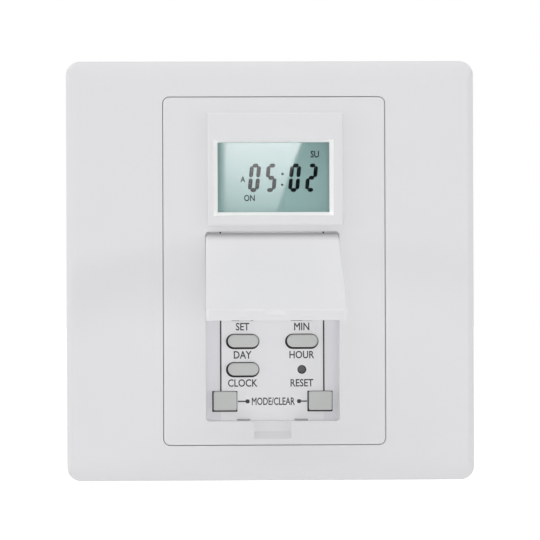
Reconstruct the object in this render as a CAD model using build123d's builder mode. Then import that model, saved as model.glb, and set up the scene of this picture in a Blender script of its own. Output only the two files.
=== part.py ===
"""Wall timer switch: a square plate with a display, a flip-up flap and a keypad behind the flap.

The plate is centred on the origin and the wall is the plane y = 0. X runs to the right as seen
from the room, Z runs up, and the front faces -Y. A height is a distance in front of the wall,
so a point at height h has y = -h, and what lies inside the wall box has a negative height.
"""

import os
from math import cos, radians, sin

from build123d import *

os.makedirs("parts", exist_ok=True)

# Plate and its window
plate_width = 86.0
plate_height = 88.6
plate_corner = 3.0
face_height = 9.0
frame_wall = 1.8
end_roll_width = 4.4
end_roll_drop = 1.3
side_roll_width = 1.5
side_roll_drop = 0.9
rim_round = 0.5
window_width = 47.05
window_height = 73.65
window_corner = 1.5
window_skirt = 1.2
rib_thickness = 1.0
rib_depth = 3.0
rib_x = 17.0
rib_z = 18.0
seam = 0.15
panel_shift = 0.8
pry_width = 3.2
pry_height = 1.0
pry_depth = 0.7
peg_radius = 1.5
peg_fit = 0.1
peg_side_inset = 3.4
peg_end_inset = 5.5

# Yoke, the steel plate that the wall screws hold
yoke_side_inset = 5.0
yoke_end_inset = 5.3
yoke_corner = 4.0
yoke_thickness = 1.0
yoke_window_gap = 0.3
screw_spacing = 60.3
slot_length = 9.0
slot_width = 4.6

# Centre panel
panel_wall = 1.6
panel_round = 0.3
boss_radius = 2.0
boss_floor = 1.2

# Display bezel and its mouth
bezel_x = 0.3
bezel_overhang = 0.15
bezel_height = 23.87
bezel_end_margin = 3.305
bezel_bay_gap = 1.17
bezel_rise = 1.7
bezel_corner = 0.5
bezel_bevel = 0.35
mouth_side_margin = 1.625
mouth_top_margin = 5.74
mouth_bottom_margin = 2.15
mouth_x = -0.12
mouth_side_inset = 0.87
mouth_end_inset = 0.64
screen_x = -0.1
screen_rise = 0.1
lip_thickness = 1.15

# Display stack, from the window pane back to the board
pane_margin = 1.05
pane_thickness = 0.9
gasket_thickness = 0.35
gasket_overlap = 0.8
glass_margin_x = 1.45
glass_margin_z = 1.75
glass_thickness = 1.1
ledge = 1.7
reflector_thickness = 0.6
holder_deck = 1.0
holder_wall = 1.1
strip_width = 1.3
strip_end_margin = 2.2
display_gap = 0.15

# Key bay and its floor
bay_x = -0.4
bay_side_margin = 9.25
bay_end_margin = 4.985
bay_corner = 0.8
bay_wall = 1.2
bay_depth = 4.0
floor_thickness = 1.2
floor_margin = 0.6
groove_share = 0.7745
groove_width = 0.32
groove_depth = 0.7
notch_width = 7.75
notch_depth = 1.0
notch_floor = 2.2
notch_ramp = 1.5
latch_share = 0.443
latch_width = 2.85
latch_height = 1.6

# Keys
oval_width = 6.5
oval_height = 2.66
oval_gap = 0.3
oval_column_share = 0.4446
oval_rise = 22.71
oval_distance = 5.98
oval_shift = 0.12
square_width = 4.9
square_height = 3.95
square_corner = 0.3
square_gap = 0.22
square_column_share = 0.715
square_rise = 4.02
square_shift = 0.08
square_rise_shift = 0.12
key_proud = 1.0
key_round = 0.35
key_travel = 0.8
key_flange = 0.55
flange_margin = 0.75
flange_gap = 0.05
pill_radius = 1.1
mat_thickness = 1.6
mat_margin = 0.2
mat_gap = 0.25
pad_radius = 1.3
pad_thickness = 0.05
reset_hole_radius = 0.94

# Reset switch under its pinhole
reset_body = 3.2
reset_body_height = 1.3
reset_pin_radius = 0.75
reset_pin_gap = 0.06
reset_pin_height = 1.25
reset_well = 0.75
reset_travel = 0.3
reset_clearance = 0.2

# Flap and its hinge
flap_side_gap = 0.15
flap_thickness = 2.3
flap_end_gap = 0.2
flap_open = 66.0
hinge_drop = 1.54
hinge_pin_radius = 0.7
hinge_pin_length = 0.9
hinge_pin_gap = 0.06
hinge_pin_end_gap = 0.15
ear_cut_width = 0.5
ear_cut_length = 3.0
skirt_width = 1.2
skirt_depth = 0.45
skirt_start = 3.0
fine_line_margin = 3.2
fine_line_width = 0.16
fine_line_inset = 0.45
fine_line_depth = 0.12
grip_width = 4.2
grip_depth = 0.3
grip_height = 1.0
bump_width = 2.3
bump_depth = 0.12
bump_height = 0.8
flap_round = 0.22
flap_corner = 0.8

# Control board and what it carries
board_side_gap = 1.275
board_end_gap = 2.075
board_thickness = 1.0
board_corner = 1.0
board_screw_inset = 2.6
board_screw_radius = 0.9
board_screw_head_radius = 1.6
board_screw_head = 0.9
board_screw_length = 4.6
thread_gap = 0.05
chip_side = 10.0
chip_thickness = 1.4
chip_leg_width = 0.35
chip_leg_distance = 0.8
chip_leg_reach = 0.9
chip_leg_thickness = 0.2
chip_legs_per_side = 11
crystal_radius = 1.0
crystal_length = 6.0
cell_radius = 6.25
cell_thickness = 3.0
clip_width = 4.0
clip_thickness = 0.3
clip_gap = 0.15

# Rear case
case_rim_side = 3.9
case_rim_end = 3.0
relay_gap = 2.2
case_corner = 2.5
case_wall = 1.6
case_back = 1.8
post_side_inset = 3.1
post_end_inset = 5.2
post_radius = 2.9
shoulder_radius = 3.5
post_bore = 2.1
post_tip = 3.2
vent_length = 14.0
vent_width = 1.3
vent_distance = 3.2
vent_count = 5
vent_share = 0.575
back_recess_width = 20.0
back_recess_height = 14.0
back_recess_depth = 0.4
back_recess_share = -0.18
screw_radius = 1.15
screw_head_radius = 1.9
screw_head = 1.4
screw_reach = 7.6
driver_slot = 0.5
driver_depth = 0.6

# Power board and what it carries
power_board_side_gap = 0.7
power_board_end_gap = 0.3
power_board_thickness = 1.6
power_board_post_gap = 0.2
lead_radius = 0.35
lead_gap = 0.1
lead_stub = 0.8
relay_width = 19.2
relay_height = 15.4
relay_depth = 15.0
relay_lead_x = 7.0
relay_lead_z = 6.0
film_width = 18.0
film_height = 7.5
film_depth = 14.5
film_span = 15.0
can_radius = 5.0
can_depth = 12.5
can_span = 5.0
can_groove = 0.35
disc_radius = 4.5
disc_thickness = 4.2
disc_lift = 1.2
disc_span = 5.0
fuse_radius = 4.2
fuse_depth = 7.7
fuse_span = 5.0
diode_radius = 1.3
diode_length = 5.0
diode_span = 8.0
diode_distance = 4.0
diode_count = 4
resistor_radius = 2.2
resistor_length = 11.0
resistor_span = 15.0
transistor_radius = 2.3
transistor_depth = 4.8
transistor_flat = 1.2
transistor_lift = 1.5
transistor_distance = 1.27
header_pins = 6
header_distance = 2.54
header_depth = 2.5
header_pin_radius = 0.32
socket_depth = 8.5
socket_pin_gap = 0.12
socket_play = 1.4

# Terminal block
pole_count = 3
pole_wall = 2.0
block_side_gap = 0.5
block_wall = 0.5
block_height = 12.0
block_depth = 8.6
block_floor_gap = 0.5
clamp_height = 7.3
clamp_gap = 0.1
clamp_rise = 1.35
cell_back = 1.0
wire_radius = 1.6
wire_rise = 1.55
wire_mouth_gap = 0.4
clamp_screw_radius = 1.2
clamp_screw_head_radius = 2.0
clamp_screw_inset = 2.5
clamp_screw_head = 1.8
clamp_screw_neck = 1.4
clamp_screw_clear = 0.4
clamp_screw_mouth_gap = 0.3
clamp_pin_radius = 0.6

# Places along X and Z on the two boards, as shares of the places of the screw posts
chip_shares = (-0.345, 0.288)
crystal_shares = (0.092, -0.216)
cell_shares = (0.609, 0.345)
header_shares = (0.575, 0.8)
relay_shares = (-0.546, -0.48)
film_shares = (-0.575, 0.054)
can_shares = (0.603, -0.432)
disc_shares = (-0.195, 0.665)
fuse_shares = (-0.856, 0.665)
diode_shares = (0.632, 0.054)
resistor_shares = (-0.546, 0.36)
transistor_shares = (0.345, 0.45)

# One overrun for every cut that has to pass right through a wall
overrun = 1.0

# Places and sizes that follow from the values above
panel_width = window_width - 2 * seam
panel_height = window_height - 2 * seam
panel_corner = window_corner - seam
panel_underside = face_height - panel_wall
yoke_width = plate_width - 2 * yoke_side_inset
yoke_height = plate_height - 2 * yoke_end_inset
peg_x = yoke_width / 2 - peg_side_inset
peg_z = yoke_height / 2 - peg_end_inset
bay_centre = panel_shift + bay_x
bay_width = panel_width - 2 * bay_side_margin
bay_bottom = bay_end_margin - panel_height / 2
bezel_width = bay_width + 2 * bezel_overhang
bezel_top = panel_height / 2 - bezel_end_margin
bezel_z = bezel_top - bezel_height / 2
bay_top = bezel_top - bezel_height - bezel_bay_gap
bay_height = bay_top - bay_bottom
mouth_width = bezel_width - 2 * mouth_side_margin
mouth_height = bezel_height - mouth_top_margin - mouth_bottom_margin
mouth_z = bezel_top - mouth_top_margin - mouth_height / 2
screen_width = mouth_width - 2 * mouth_side_inset
screen_height = mouth_height - 2 * mouth_end_inset
screen_z = mouth_z + screen_rise
groove_x = groove_share * bay_width / 2
latch_x = latch_share * bay_width / 2
oval_column = oval_column_share * bay_width / 2
oval_row_top = bay_bottom + oval_rise
square_column = square_column_share * bay_width / 2
square_row = bay_bottom + square_rise
flap_width = bay_width - 2 * flap_side_gap
bezel_front = face_height + bezel_rise
pane_front = bezel_front - lip_thickness
pane_back = pane_front - pane_thickness
glass_front = pane_back - gasket_thickness
glass_middle = glass_front - glass_thickness
glass_back = glass_middle - glass_thickness
reflector_back = glass_back - reflector_thickness
bay_floor = face_height - bay_depth
bay_z = (bay_top + bay_bottom) / 2
floor_back = bay_floor - floor_thickness
board_front = floor_back - mat_thickness
board_back = board_front - board_thickness
board_width = panel_width - 2 * (panel_wall + board_side_gap)
board_height = panel_height - 2 * (panel_wall + board_end_gap)
board_screw_x = board_width / 2 - board_screw_inset
post_x = board_width / 2 - post_side_inset
post_z = board_height / 2 - post_end_inset
yoke_window_width = 2 * (post_x + post_radius + yoke_window_gap)
yoke_window_height = 2 * (post_z + post_radius + yoke_window_gap)
case_width = yoke_window_width + 2 * case_rim_side
case_height = yoke_window_height + 2 * case_rim_end
power_board_back = relay_gap - board_back + relay_depth + power_board_thickness
power_board_width = case_width - 2 * (case_wall + power_board_side_gap)
power_board_height = case_height - 2 * (case_wall + power_board_end_gap)
case_depth = power_board_back + block_depth + case_back
case_floor = -case_depth + case_back
power_front = -power_board_back + power_board_thickness
hinge_height = face_height - flap_thickness / 2
hinge_z = bay_top - hinge_drop
flap_reach = hinge_z - bay_bottom - flap_end_gap
pane_width = screen_width + 2 * pane_margin
pane_height = screen_height + 2 * pane_margin
glass_width = screen_width + 2 * glass_margin_x
glass_height = screen_height + 2 * glass_margin_z
rear_glass_height = glass_height - 2 * ledge
strip_z = (glass_height - ledge) / 2
strip_length = glass_width - 2 * strip_end_margin
block_width = 2 * (post_x - shoulder_radius - block_side_gap)
pole_distance = (block_width - 2 * block_wall) / pole_count
clamp_width = pole_distance - pole_wall - 2 * clamp_gap
clamp_back = case_floor + cell_back + clamp_gap
clamp_front = -power_board_back - clamp_gap
clamp_screw_depth = power_board_back + clamp_screw_inset
block_z = (block_height - case_height) / 2 + case_wall + block_floor_gap
clamp_z = block_z + clamp_rise
wire_z = clamp_z + wire_rise

# Keys, each with its side of the middle and its row counted from the top
oval_keys = {
    "key_set": (-1, 0),
    "key_minute": (1, 0),
    "key_week": (-1, 1),
    "key_hour": (1, 1),
    "key_clock": (-1, 2),
}
square_keys = {"key_mode": -1, "key_clear": 1}
reset_place = (oval_column, oval_row_top - 2 * oval_distance)
oval_places = {
    name: (side * oval_column, oval_row_top - row * oval_distance) for name, (side, row) in oval_keys.items()
}
square_places = {name: (side * square_column, square_row) for name, side in square_keys.items()}
oval_spots = list(oval_places.values())
square_spots = list(square_places.values())


def wall_plane(height):
    """A plane parallel to the wall at this height, centred on the plate."""
    return Plane.XZ.offset(height)


def panel_plane(height):
    """A plane parallel to the wall at this height, centred on the panel."""
    return Plane(origin=(panel_shift, -height, 0), x_dir=(1, 0, 0), z_dir=(0, -1, 0))


def bay_plane(height):
    """A plane parallel to the wall at this height, centred on the key bay."""
    return Plane(origin=(bay_centre, -height, 0), x_dir=(1, 0, 0), z_dir=(0, -1, 0))


def board_place(shares):
    """A place on either board, from its shares of the posts' places."""
    return (shares[0] * post_x, shares[1] * post_z)


def side_by_side(x, z, span):
    """Two places, this span apart along X."""
    return [(x - span / 2, z), (x + span / 2, z)]


chip_x, chip_z = board_place(chip_shares)
crystal_x, crystal_z = board_place(crystal_shares)
cell_x, cell_z = board_place(cell_shares)
header_x, header_z = board_place(header_shares)
relay_x, relay_z = board_place(relay_shares)
film_x, film_z = board_place(film_shares)
can_x, can_z = board_place(can_shares)
disc_x, disc_z = board_place(disc_shares)
fuse_x, fuse_z = board_place(fuse_shares)
diode_x, diode_z = board_place(diode_shares)
resistor_x, resistor_z = board_place(resistor_shares)
transistor_x, transistor_z = board_place(transistor_shares)

# Front frame: a hollow moulding with rolled edges that pushes onto the yoke with four pegs
with BuildPart() as front_frame:
    with BuildSketch(wall_plane(0)):
        RectangleRounded(plate_width, plate_height, plate_corner)
    extrude(amount=face_height)
    with BuildSketch(Plane.YZ):
        with BuildLine():
            Polyline(
                (end_roll_drop - face_height, plate_height / 2),
                (0, plate_height / 2),
                (0, -plate_height / 2),
                (end_roll_drop - face_height, -plate_height / 2),
            )
            TangentArc(
                (-face_height, end_roll_width - plate_height / 2),
                (end_roll_drop - face_height, -plate_height / 2),
                tangent=(0, -1),
            )
            Line(
                (-face_height, end_roll_width - plate_height / 2),
                (-face_height, plate_height / 2 - end_roll_width),
            )
            TangentArc(
                (-face_height, plate_height / 2 - end_roll_width),
                (end_roll_drop - face_height, plate_height / 2),
                tangent=(0, 1),
            )
        make_face()
    extrude(amount=plate_width, both=True, mode=Mode.INTERSECT)
    with BuildSketch(Plane.XY):
        with BuildLine():
            Polyline(
                (plate_width / 2, side_roll_drop - face_height),
                (plate_width / 2, 0),
                (-plate_width / 2, 0),
                (-plate_width / 2, side_roll_drop - face_height),
            )
            TangentArc(
                (side_roll_width - plate_width / 2, -face_height),
                (-plate_width / 2, side_roll_drop - face_height),
                tangent=(-1, 0),
            )
            Line(
                (side_roll_width - plate_width / 2, -face_height),
                (plate_width / 2 - side_roll_width, -face_height),
            )
            TangentArc(
                (plate_width / 2 - side_roll_width, -face_height),
                (plate_width / 2, side_roll_drop - face_height),
                tangent=(1, 0),
            )
        make_face()
    extrude(amount=plate_height, both=True, mode=Mode.INTERSECT)
    upright_walls = front_frame.faces().filter_by(lambda face: abs(face.normal_at().Y) < 0.01)
    rim = upright_walls.edges().filter_by(Axis.Y, reverse=True).filter_by(lambda edge: edge.center().Y < 0)
    fillet(rim.filter_by(lambda edge: edge.center().Y < -face_height / 2), radius=rim_round)
    # Hollow behind the face
    with BuildSketch(wall_plane(0)):
        RectangleRounded(
            plate_width - 2 * frame_wall, plate_height - 2 * frame_wall, plate_corner - frame_wall
        )
    extrude(amount=face_height - frame_wall, mode=Mode.SUBTRACT)
    # Skirt round the window, standing on the yoke
    with BuildSketch(panel_plane(yoke_thickness)):
        RectangleRounded(
            window_width + 2 * window_skirt, window_height + 2 * window_skirt, window_corner + window_skirt
        )
    extrude(amount=face_height - frame_wall - yoke_thickness)
    with BuildSketch(panel_plane(0)):
        RectangleRounded(window_width, window_height, window_corner)
    extrude(amount=face_height, mode=Mode.SUBTRACT)
    # Ribs from the skirt to the outer wall
    with BuildSketch(panel_plane(face_height - frame_wall)):
        with GridLocations(2 * rib_x, 0, 2, 1):
            Rectangle(rib_thickness, plate_height - 2 * frame_wall)
        Rectangle(window_width + window_skirt, window_height + window_skirt, mode=Mode.SUBTRACT)
    with BuildSketch(wall_plane(face_height - frame_wall)):
        with GridLocations(0, 2 * rib_z, 1, 2):
            Rectangle(plate_width - 2 * frame_wall, rib_thickness)
        with Locations((panel_shift, 0)):
            Rectangle(window_width + window_skirt, window_height + window_skirt, mode=Mode.SUBTRACT)
    extrude(amount=-rib_depth)
    # Pegs that push into the yoke
    with BuildSketch(wall_plane(0)):
        with GridLocations(2 * peg_x, 2 * peg_z, 2, 2):
            Circle(peg_radius)
    extrude(amount=face_height - frame_wall)
    # Pry slot in the bottom edge
    with BuildSketch(wall_plane(0)):
        with Locations((panel_shift, -plate_height / 2)):
            Rectangle(pry_width, 2 * pry_depth)
    extrude(amount=pry_height, mode=Mode.SUBTRACT)
front_frame.part.label = "front_frame"
export_step(front_frame.part, "parts/front_frame.step")

# Yoke: the flat steel plate that the wall screws pull against the wall
with BuildPart() as yoke_plate:
    with BuildSketch(wall_plane(0)):
        RectangleRounded(yoke_width, yoke_height, yoke_corner)
        Rectangle(yoke_window_width, yoke_window_height, mode=Mode.SUBTRACT)
        with GridLocations(screw_spacing, 0, 2, 1):
            SlotOverall(slot_length, slot_width, mode=Mode.SUBTRACT)
        with GridLocations(2 * peg_x, 2 * peg_z, 2, 2):
            Circle(peg_radius + peg_fit, mode=Mode.SUBTRACT)
    extrude(amount=yoke_thickness)
yoke_plate.part.label = "yoke_plate"
export_step(yoke_plate.part, "parts/yoke_plate.step")

# Centre panel: the moulding that carries the display bezel, the key bay and the flap
with BuildPart() as center_panel:
    with BuildSketch(panel_plane(yoke_thickness)):
        RectangleRounded(panel_width, panel_height, panel_corner)
    extrude(amount=face_height - yoke_thickness)
    fillet(center_panel.faces().sort_by(Axis.Y)[0].edges(), radius=panel_round)
    with BuildSketch(panel_plane(yoke_thickness)):
        Rectangle(panel_width - 2 * panel_wall, panel_height - 2 * panel_wall)
    extrude(amount=panel_underside - yoke_thickness, mode=Mode.SUBTRACT)
    # Raised bezel with a bevelled rim
    with BuildSketch(panel_plane(panel_underside)):
        with Locations((bezel_x, bezel_z)):
            RectangleRounded(bezel_width, bezel_height, bezel_corner)
    extrude(amount=bezel_front - panel_underside)
    chamfer(center_panel.faces().sort_by(Axis.Y)[0].edges(), length=bezel_bevel)
    # Sloping mouth of the bezel, then the seats of the pane and of the display glass
    with BuildSketch(panel_plane(pane_front)):
        with Locations((screen_x, screen_z)):
            Rectangle(screen_width, screen_height)
    with BuildSketch(panel_plane(bezel_front)):
        with Locations((mouth_x, mouth_z)):
            Rectangle(mouth_width, mouth_height)
    loft(mode=Mode.SUBTRACT)
    with BuildSketch(panel_plane(glass_front)):
        with Locations((screen_x, screen_z)):
            Rectangle(pane_width + 2 * display_gap, pane_height + 2 * display_gap)
    extrude(amount=pane_front - glass_front, mode=Mode.SUBTRACT)
    with BuildSketch(panel_plane(yoke_thickness)):
        with Locations((screen_x, screen_z)):
            Rectangle(glass_width + 2 * display_gap, glass_height + 2 * display_gap)
    extrude(amount=glass_front - yoke_thickness, mode=Mode.SUBTRACT)
    # Walls of the key bay
    with BuildSketch(bay_plane(bay_floor)):
        with Locations((0, bay_z)):
            RectangleRounded(bay_width + 2 * bay_wall, bay_height + 2 * bay_wall, bay_corner + bay_wall)
    extrude(amount=panel_underside - bay_floor)
    with BuildSketch(bay_plane(bay_floor)):
        with Locations((0, bay_z)):
            RectangleRounded(bay_width, bay_height, bay_corner)
    extrude(amount=bay_depth, mode=Mode.SUBTRACT)
    # Bosses for the long case screws and for the two board screws
    with BuildSketch(wall_plane(board_front)):
        with GridLocations(2 * post_x, 2 * post_z, 2, 2):
            Circle(boss_radius)
        with GridLocations(2 * board_screw_x, 0, 2, 1):
            Circle(boss_radius)
        with Locations((bay_centre, bay_z)):
            Rectangle(bay_width + bay_wall, bay_height + bay_wall, mode=Mode.SUBTRACT)
    extrude(amount=panel_underside - board_front)
    with BuildSketch(wall_plane(board_front)):
        with GridLocations(2 * post_x, 2 * post_z, 2, 2):
            Circle(screw_radius + thread_gap)
        with GridLocations(2 * board_screw_x, 0, 2, 1):
            Circle(board_screw_radius + thread_gap)
    extrude(amount=panel_underside - boss_floor / 2 - board_front, mode=Mode.SUBTRACT)
    # Latch slots at the foot of the bay's lower wall
    with BuildSketch(bay_plane(bay_floor)):
        with Locations((0, bay_bottom)):
            with GridLocations(2 * latch_x, 0, 2, 1):
                Rectangle(latch_width, 2 * bay_wall + overrun)
    extrude(amount=latch_height, mode=Mode.SUBTRACT)
    # Sockets for the flap's pins
    with BuildSketch(Plane.YZ.offset(bay_centre)):
        with Locations((-hinge_height, hinge_z)):
            Circle(hinge_pin_radius + hinge_pin_gap)
    extrude(
        amount=flap_width / 2 + hinge_pin_length + hinge_pin_end_gap, both=True, mode=Mode.SUBTRACT
    )
    # Finger notch with a flat floor and a ramp
    with BuildSketch(Plane.YZ.offset(bay_centre)):
        with BuildLine():
            Polyline(
                (-face_height - overrun, bay_bottom + overrun),
                (notch_depth - face_height, bay_bottom + overrun),
                (notch_depth - face_height, bay_bottom - notch_floor),
                (-face_height, bay_bottom - notch_floor - notch_ramp),
                (-face_height - overrun, bay_bottom - notch_floor - notch_ramp),
                close=True,
            )
        make_face()
    extrude(amount=notch_width / 2, both=True, mode=Mode.SUBTRACT)
center_panel.part.label = "center_panel"
export_step(center_panel.part, "parts/center_panel.step")

# Clear pane behind the bezel's lip
with BuildPart() as display_lens:
    with BuildSketch(panel_plane(pane_back)):
        with Locations((screen_x, screen_z)):
            Rectangle(pane_width, pane_height)
    extrude(amount=pane_thickness)
display_lens.part.label = "display_lens"
export_step(display_lens.part, "parts/display_lens.step")

# Foam gasket between the pane and the display glass
with BuildPart() as display_gasket:
    with BuildSketch(panel_plane(glass_front)):
        with Locations((screen_x, screen_z)):
            Rectangle(pane_width, pane_height)
            Rectangle(pane_width - 2 * gasket_overlap, pane_height - 2 * gasket_overlap, mode=Mode.SUBTRACT)
    extrude(amount=gasket_thickness)
display_gasket.part.label = "display_gasket"
export_step(display_gasket.part, "parts/display_gasket.step")

# Display: a front glass whose ledges carry the contacts, and a shorter rear glass
with BuildPart() as lcd_front_glass:
    with BuildSketch(panel_plane(glass_middle)):
        with Locations((screen_x, screen_z)):
            Rectangle(glass_width, glass_height)
    extrude(amount=glass_thickness)
lcd_front_glass.part.label = "lcd_front_glass"
export_step(lcd_front_glass.part, "parts/lcd_front_glass.step")

with BuildPart() as lcd_rear_glass:
    with BuildSketch(panel_plane(glass_back)):
        with Locations((screen_x, screen_z)):
            Rectangle(glass_width, rear_glass_height)
    extrude(amount=glass_thickness)
lcd_rear_glass.part.label = "lcd_rear_glass"
export_step(lcd_rear_glass.part, "parts/lcd_rear_glass.step")

with BuildPart() as lcd_reflector:
    with BuildSketch(panel_plane(reflector_back)):
        with Locations((screen_x, screen_z)):
            Rectangle(glass_width, rear_glass_height)
    extrude(amount=reflector_thickness)
lcd_reflector.part.label = "lcd_reflector"
export_step(lcd_reflector.part, "parts/lcd_reflector.step")

# Holder: a tray that stands on the board, with a slot for each contact strip
with BuildPart() as lcd_holder:
    with BuildSketch(panel_plane(board_front)):
        with Locations((screen_x, screen_z)):
            Rectangle(glass_width, glass_height)
    extrude(amount=reflector_back - board_front)
    with BuildSketch(panel_plane(board_front)):
        with Locations((screen_x, screen_z)):
            Rectangle(glass_width - 2 * holder_wall, rear_glass_height - 2 * holder_wall)
    extrude(amount=reflector_back - holder_deck - board_front, mode=Mode.SUBTRACT)
    with BuildSketch(panel_plane(board_front)):
        with Locations((screen_x, screen_z)):
            with GridLocations(0, 2 * strip_z, 1, 2):
                Rectangle(strip_length + 2 * display_gap, strip_width + 2 * display_gap)
    extrude(amount=reflector_back - board_front, mode=Mode.SUBTRACT)
lcd_holder.part.label = "lcd_holder"
export_step(lcd_holder.part, "parts/lcd_holder.step")

# Contact strips: striped rubber that joins the front glass to the board
with BuildPart() as contact_strips:
    with BuildSketch(panel_plane(board_front)):
        with Locations((screen_x, screen_z)):
            with GridLocations(0, 2 * strip_z, 1, 2):
                Rectangle(strip_length, strip_width)
    extrude(amount=glass_middle - board_front)
contact_strips.part.label = "contact_strips"
export_step(contact_strips.part, "parts/contact_strips.step")

# Keypad plate: the floor of the bay, with two grooves and a hole for each key
with BuildPart() as keypad_plate:
    with BuildSketch(bay_plane(floor_back)):
        with Locations((0, bay_z)):
            Rectangle(bay_width + 2 * floor_margin, bay_height + 2 * floor_margin)
    extrude(amount=floor_thickness)
    with BuildSketch(bay_plane(floor_back)):
        with Locations(*oval_spots):
            SlotOverall(oval_width + 2 * oval_gap, oval_height + 2 * oval_gap)
        with Locations(*square_spots):
            Rectangle(square_width + 2 * square_gap, square_height + 2 * square_gap)
        with Locations(reset_place):
            Circle(reset_hole_radius)
    extrude(amount=floor_thickness, mode=Mode.SUBTRACT)
    groove_end = square_row + square_height / 2
    with BuildSketch(bay_plane(bay_floor - groove_depth)):
        with Locations((0, (bay_top + groove_end) / 2)):
            with GridLocations(2 * groove_x, 0, 2, 1):
                Rectangle(groove_width, bay_top - groove_end)
    extrude(amount=groove_depth, mode=Mode.SUBTRACT)
keypad_plate.part.label = "keypad_plate"
export_step(keypad_plate.part, "parts/keypad_plate.step")

# Keypad mat: the silicone sheet between the plate and the board, open round each key
with BuildPart() as keypad_mat:
    with BuildSketch(bay_plane(board_front)):
        with Locations((0, bay_z)):
            Rectangle(bay_width + 2 * mat_margin, bay_height + 2 * mat_margin)
        with Locations(*oval_spots):
            SlotOverall(
                oval_width + 2 * (flange_margin + mat_gap),
                oval_height + 2 * (flange_margin + mat_gap),
                mode=Mode.SUBTRACT,
            )
        with Locations(*square_spots):
            Rectangle(
                square_width + 2 * (flange_margin + mat_gap),
                square_height + 2 * (flange_margin + mat_gap),
                mode=Mode.SUBTRACT,
            )
        with Locations(reset_place):
            Rectangle(
                reset_body + 2 * reset_clearance, reset_body + 2 * reset_clearance, mode=Mode.SUBTRACT
            )
    extrude(amount=mat_thickness)
keypad_mat.part.label = "keypad_mat"
export_step(keypad_mat.part, "parts/keypad_mat.step")

# Oval keys: cap, flange under the plate and contact pill
flange_top = floor_back - flange_gap
pill_foot = board_front + pad_thickness + key_travel
for name, (x, z) in oval_places.items():
    with BuildPart() as oval_key:
        with BuildSketch(bay_plane(flange_top)):
            with Locations((x + oval_shift, z + oval_shift)):
                SlotOverall(oval_width, oval_height)
        extrude(amount=bay_floor + key_proud - flange_top)
        fillet(oval_key.faces().sort_by(Axis.Y)[0].edges(), radius=key_round)
        with BuildSketch(bay_plane(flange_top - key_flange)):
            with Locations((x, z)):
                SlotOverall(oval_width + 2 * flange_margin, oval_height + 2 * flange_margin)
        extrude(amount=key_flange)
        with BuildSketch(bay_plane(pill_foot)):
            with Locations((x, z)):
                Circle(pill_radius)
        extrude(amount=flange_top - key_flange - pill_foot)
    oval_key.part.label = name
    export_step(oval_key.part, f"parts/{name}.step")

# Square keys, made the same way
for name, (x, z) in square_places.items():
    with BuildPart() as square_key:
        with BuildSketch(bay_plane(flange_top)):
            with Locations((x + square_shift, z + square_rise_shift)):
                RectangleRounded(square_width, square_height, square_corner)
        extrude(amount=bay_floor + key_proud - flange_top)
        fillet(square_key.faces().sort_by(Axis.Y)[0].edges(), radius=square_corner / 2)
        with BuildSketch(bay_plane(flange_top - key_flange)):
            with Locations((x, z)):
                Rectangle(square_width + 2 * flange_margin, square_height + 2 * flange_margin)
        extrude(amount=key_flange)
        with BuildSketch(bay_plane(pill_foot)):
            with Locations((x, z)):
                Circle(pill_radius)
        extrude(amount=flange_top - key_flange - pill_foot)
    square_key.part.label = name
    export_step(square_key.part, f"parts/{name}.step")

# Gold pads on the board under each key
with BuildPart() as contact_pads:
    with BuildSketch(bay_plane(board_front)):
        with Locations(*oval_spots, *square_spots):
            Circle(pad_radius)
    extrude(amount=pad_thickness)
contact_pads.part.label = "contact_pads"
export_step(contact_pads.part, "parts/contact_pads.step")

# Reset switch and its plunger, reached with a pin through the small hole
with BuildPart() as reset_switch:
    with BuildSketch(bay_plane(board_front)):
        with Locations(reset_place):
            Rectangle(reset_body, reset_body)
    extrude(amount=reset_body_height)
    with BuildSketch(bay_plane(board_front + reset_body_height)):
        with Locations(reset_place):
            Circle(reset_pin_radius + reset_pin_gap)
    extrude(amount=-reset_well, mode=Mode.SUBTRACT)
reset_switch.part.label = "reset_switch"
export_step(reset_switch.part, "parts/reset_switch.step")

reset_foot = board_front + reset_body_height - reset_well + reset_travel
with BuildPart() as reset_plunger:
    with BuildSketch(bay_plane(reset_foot)):
        with Locations(reset_place):
            Circle(reset_pin_radius)
    extrude(amount=reset_pin_height)
reset_plunger.part.label = "reset_plunger"
export_step(reset_plunger.part, "parts/reset_plunger.step")

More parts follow.
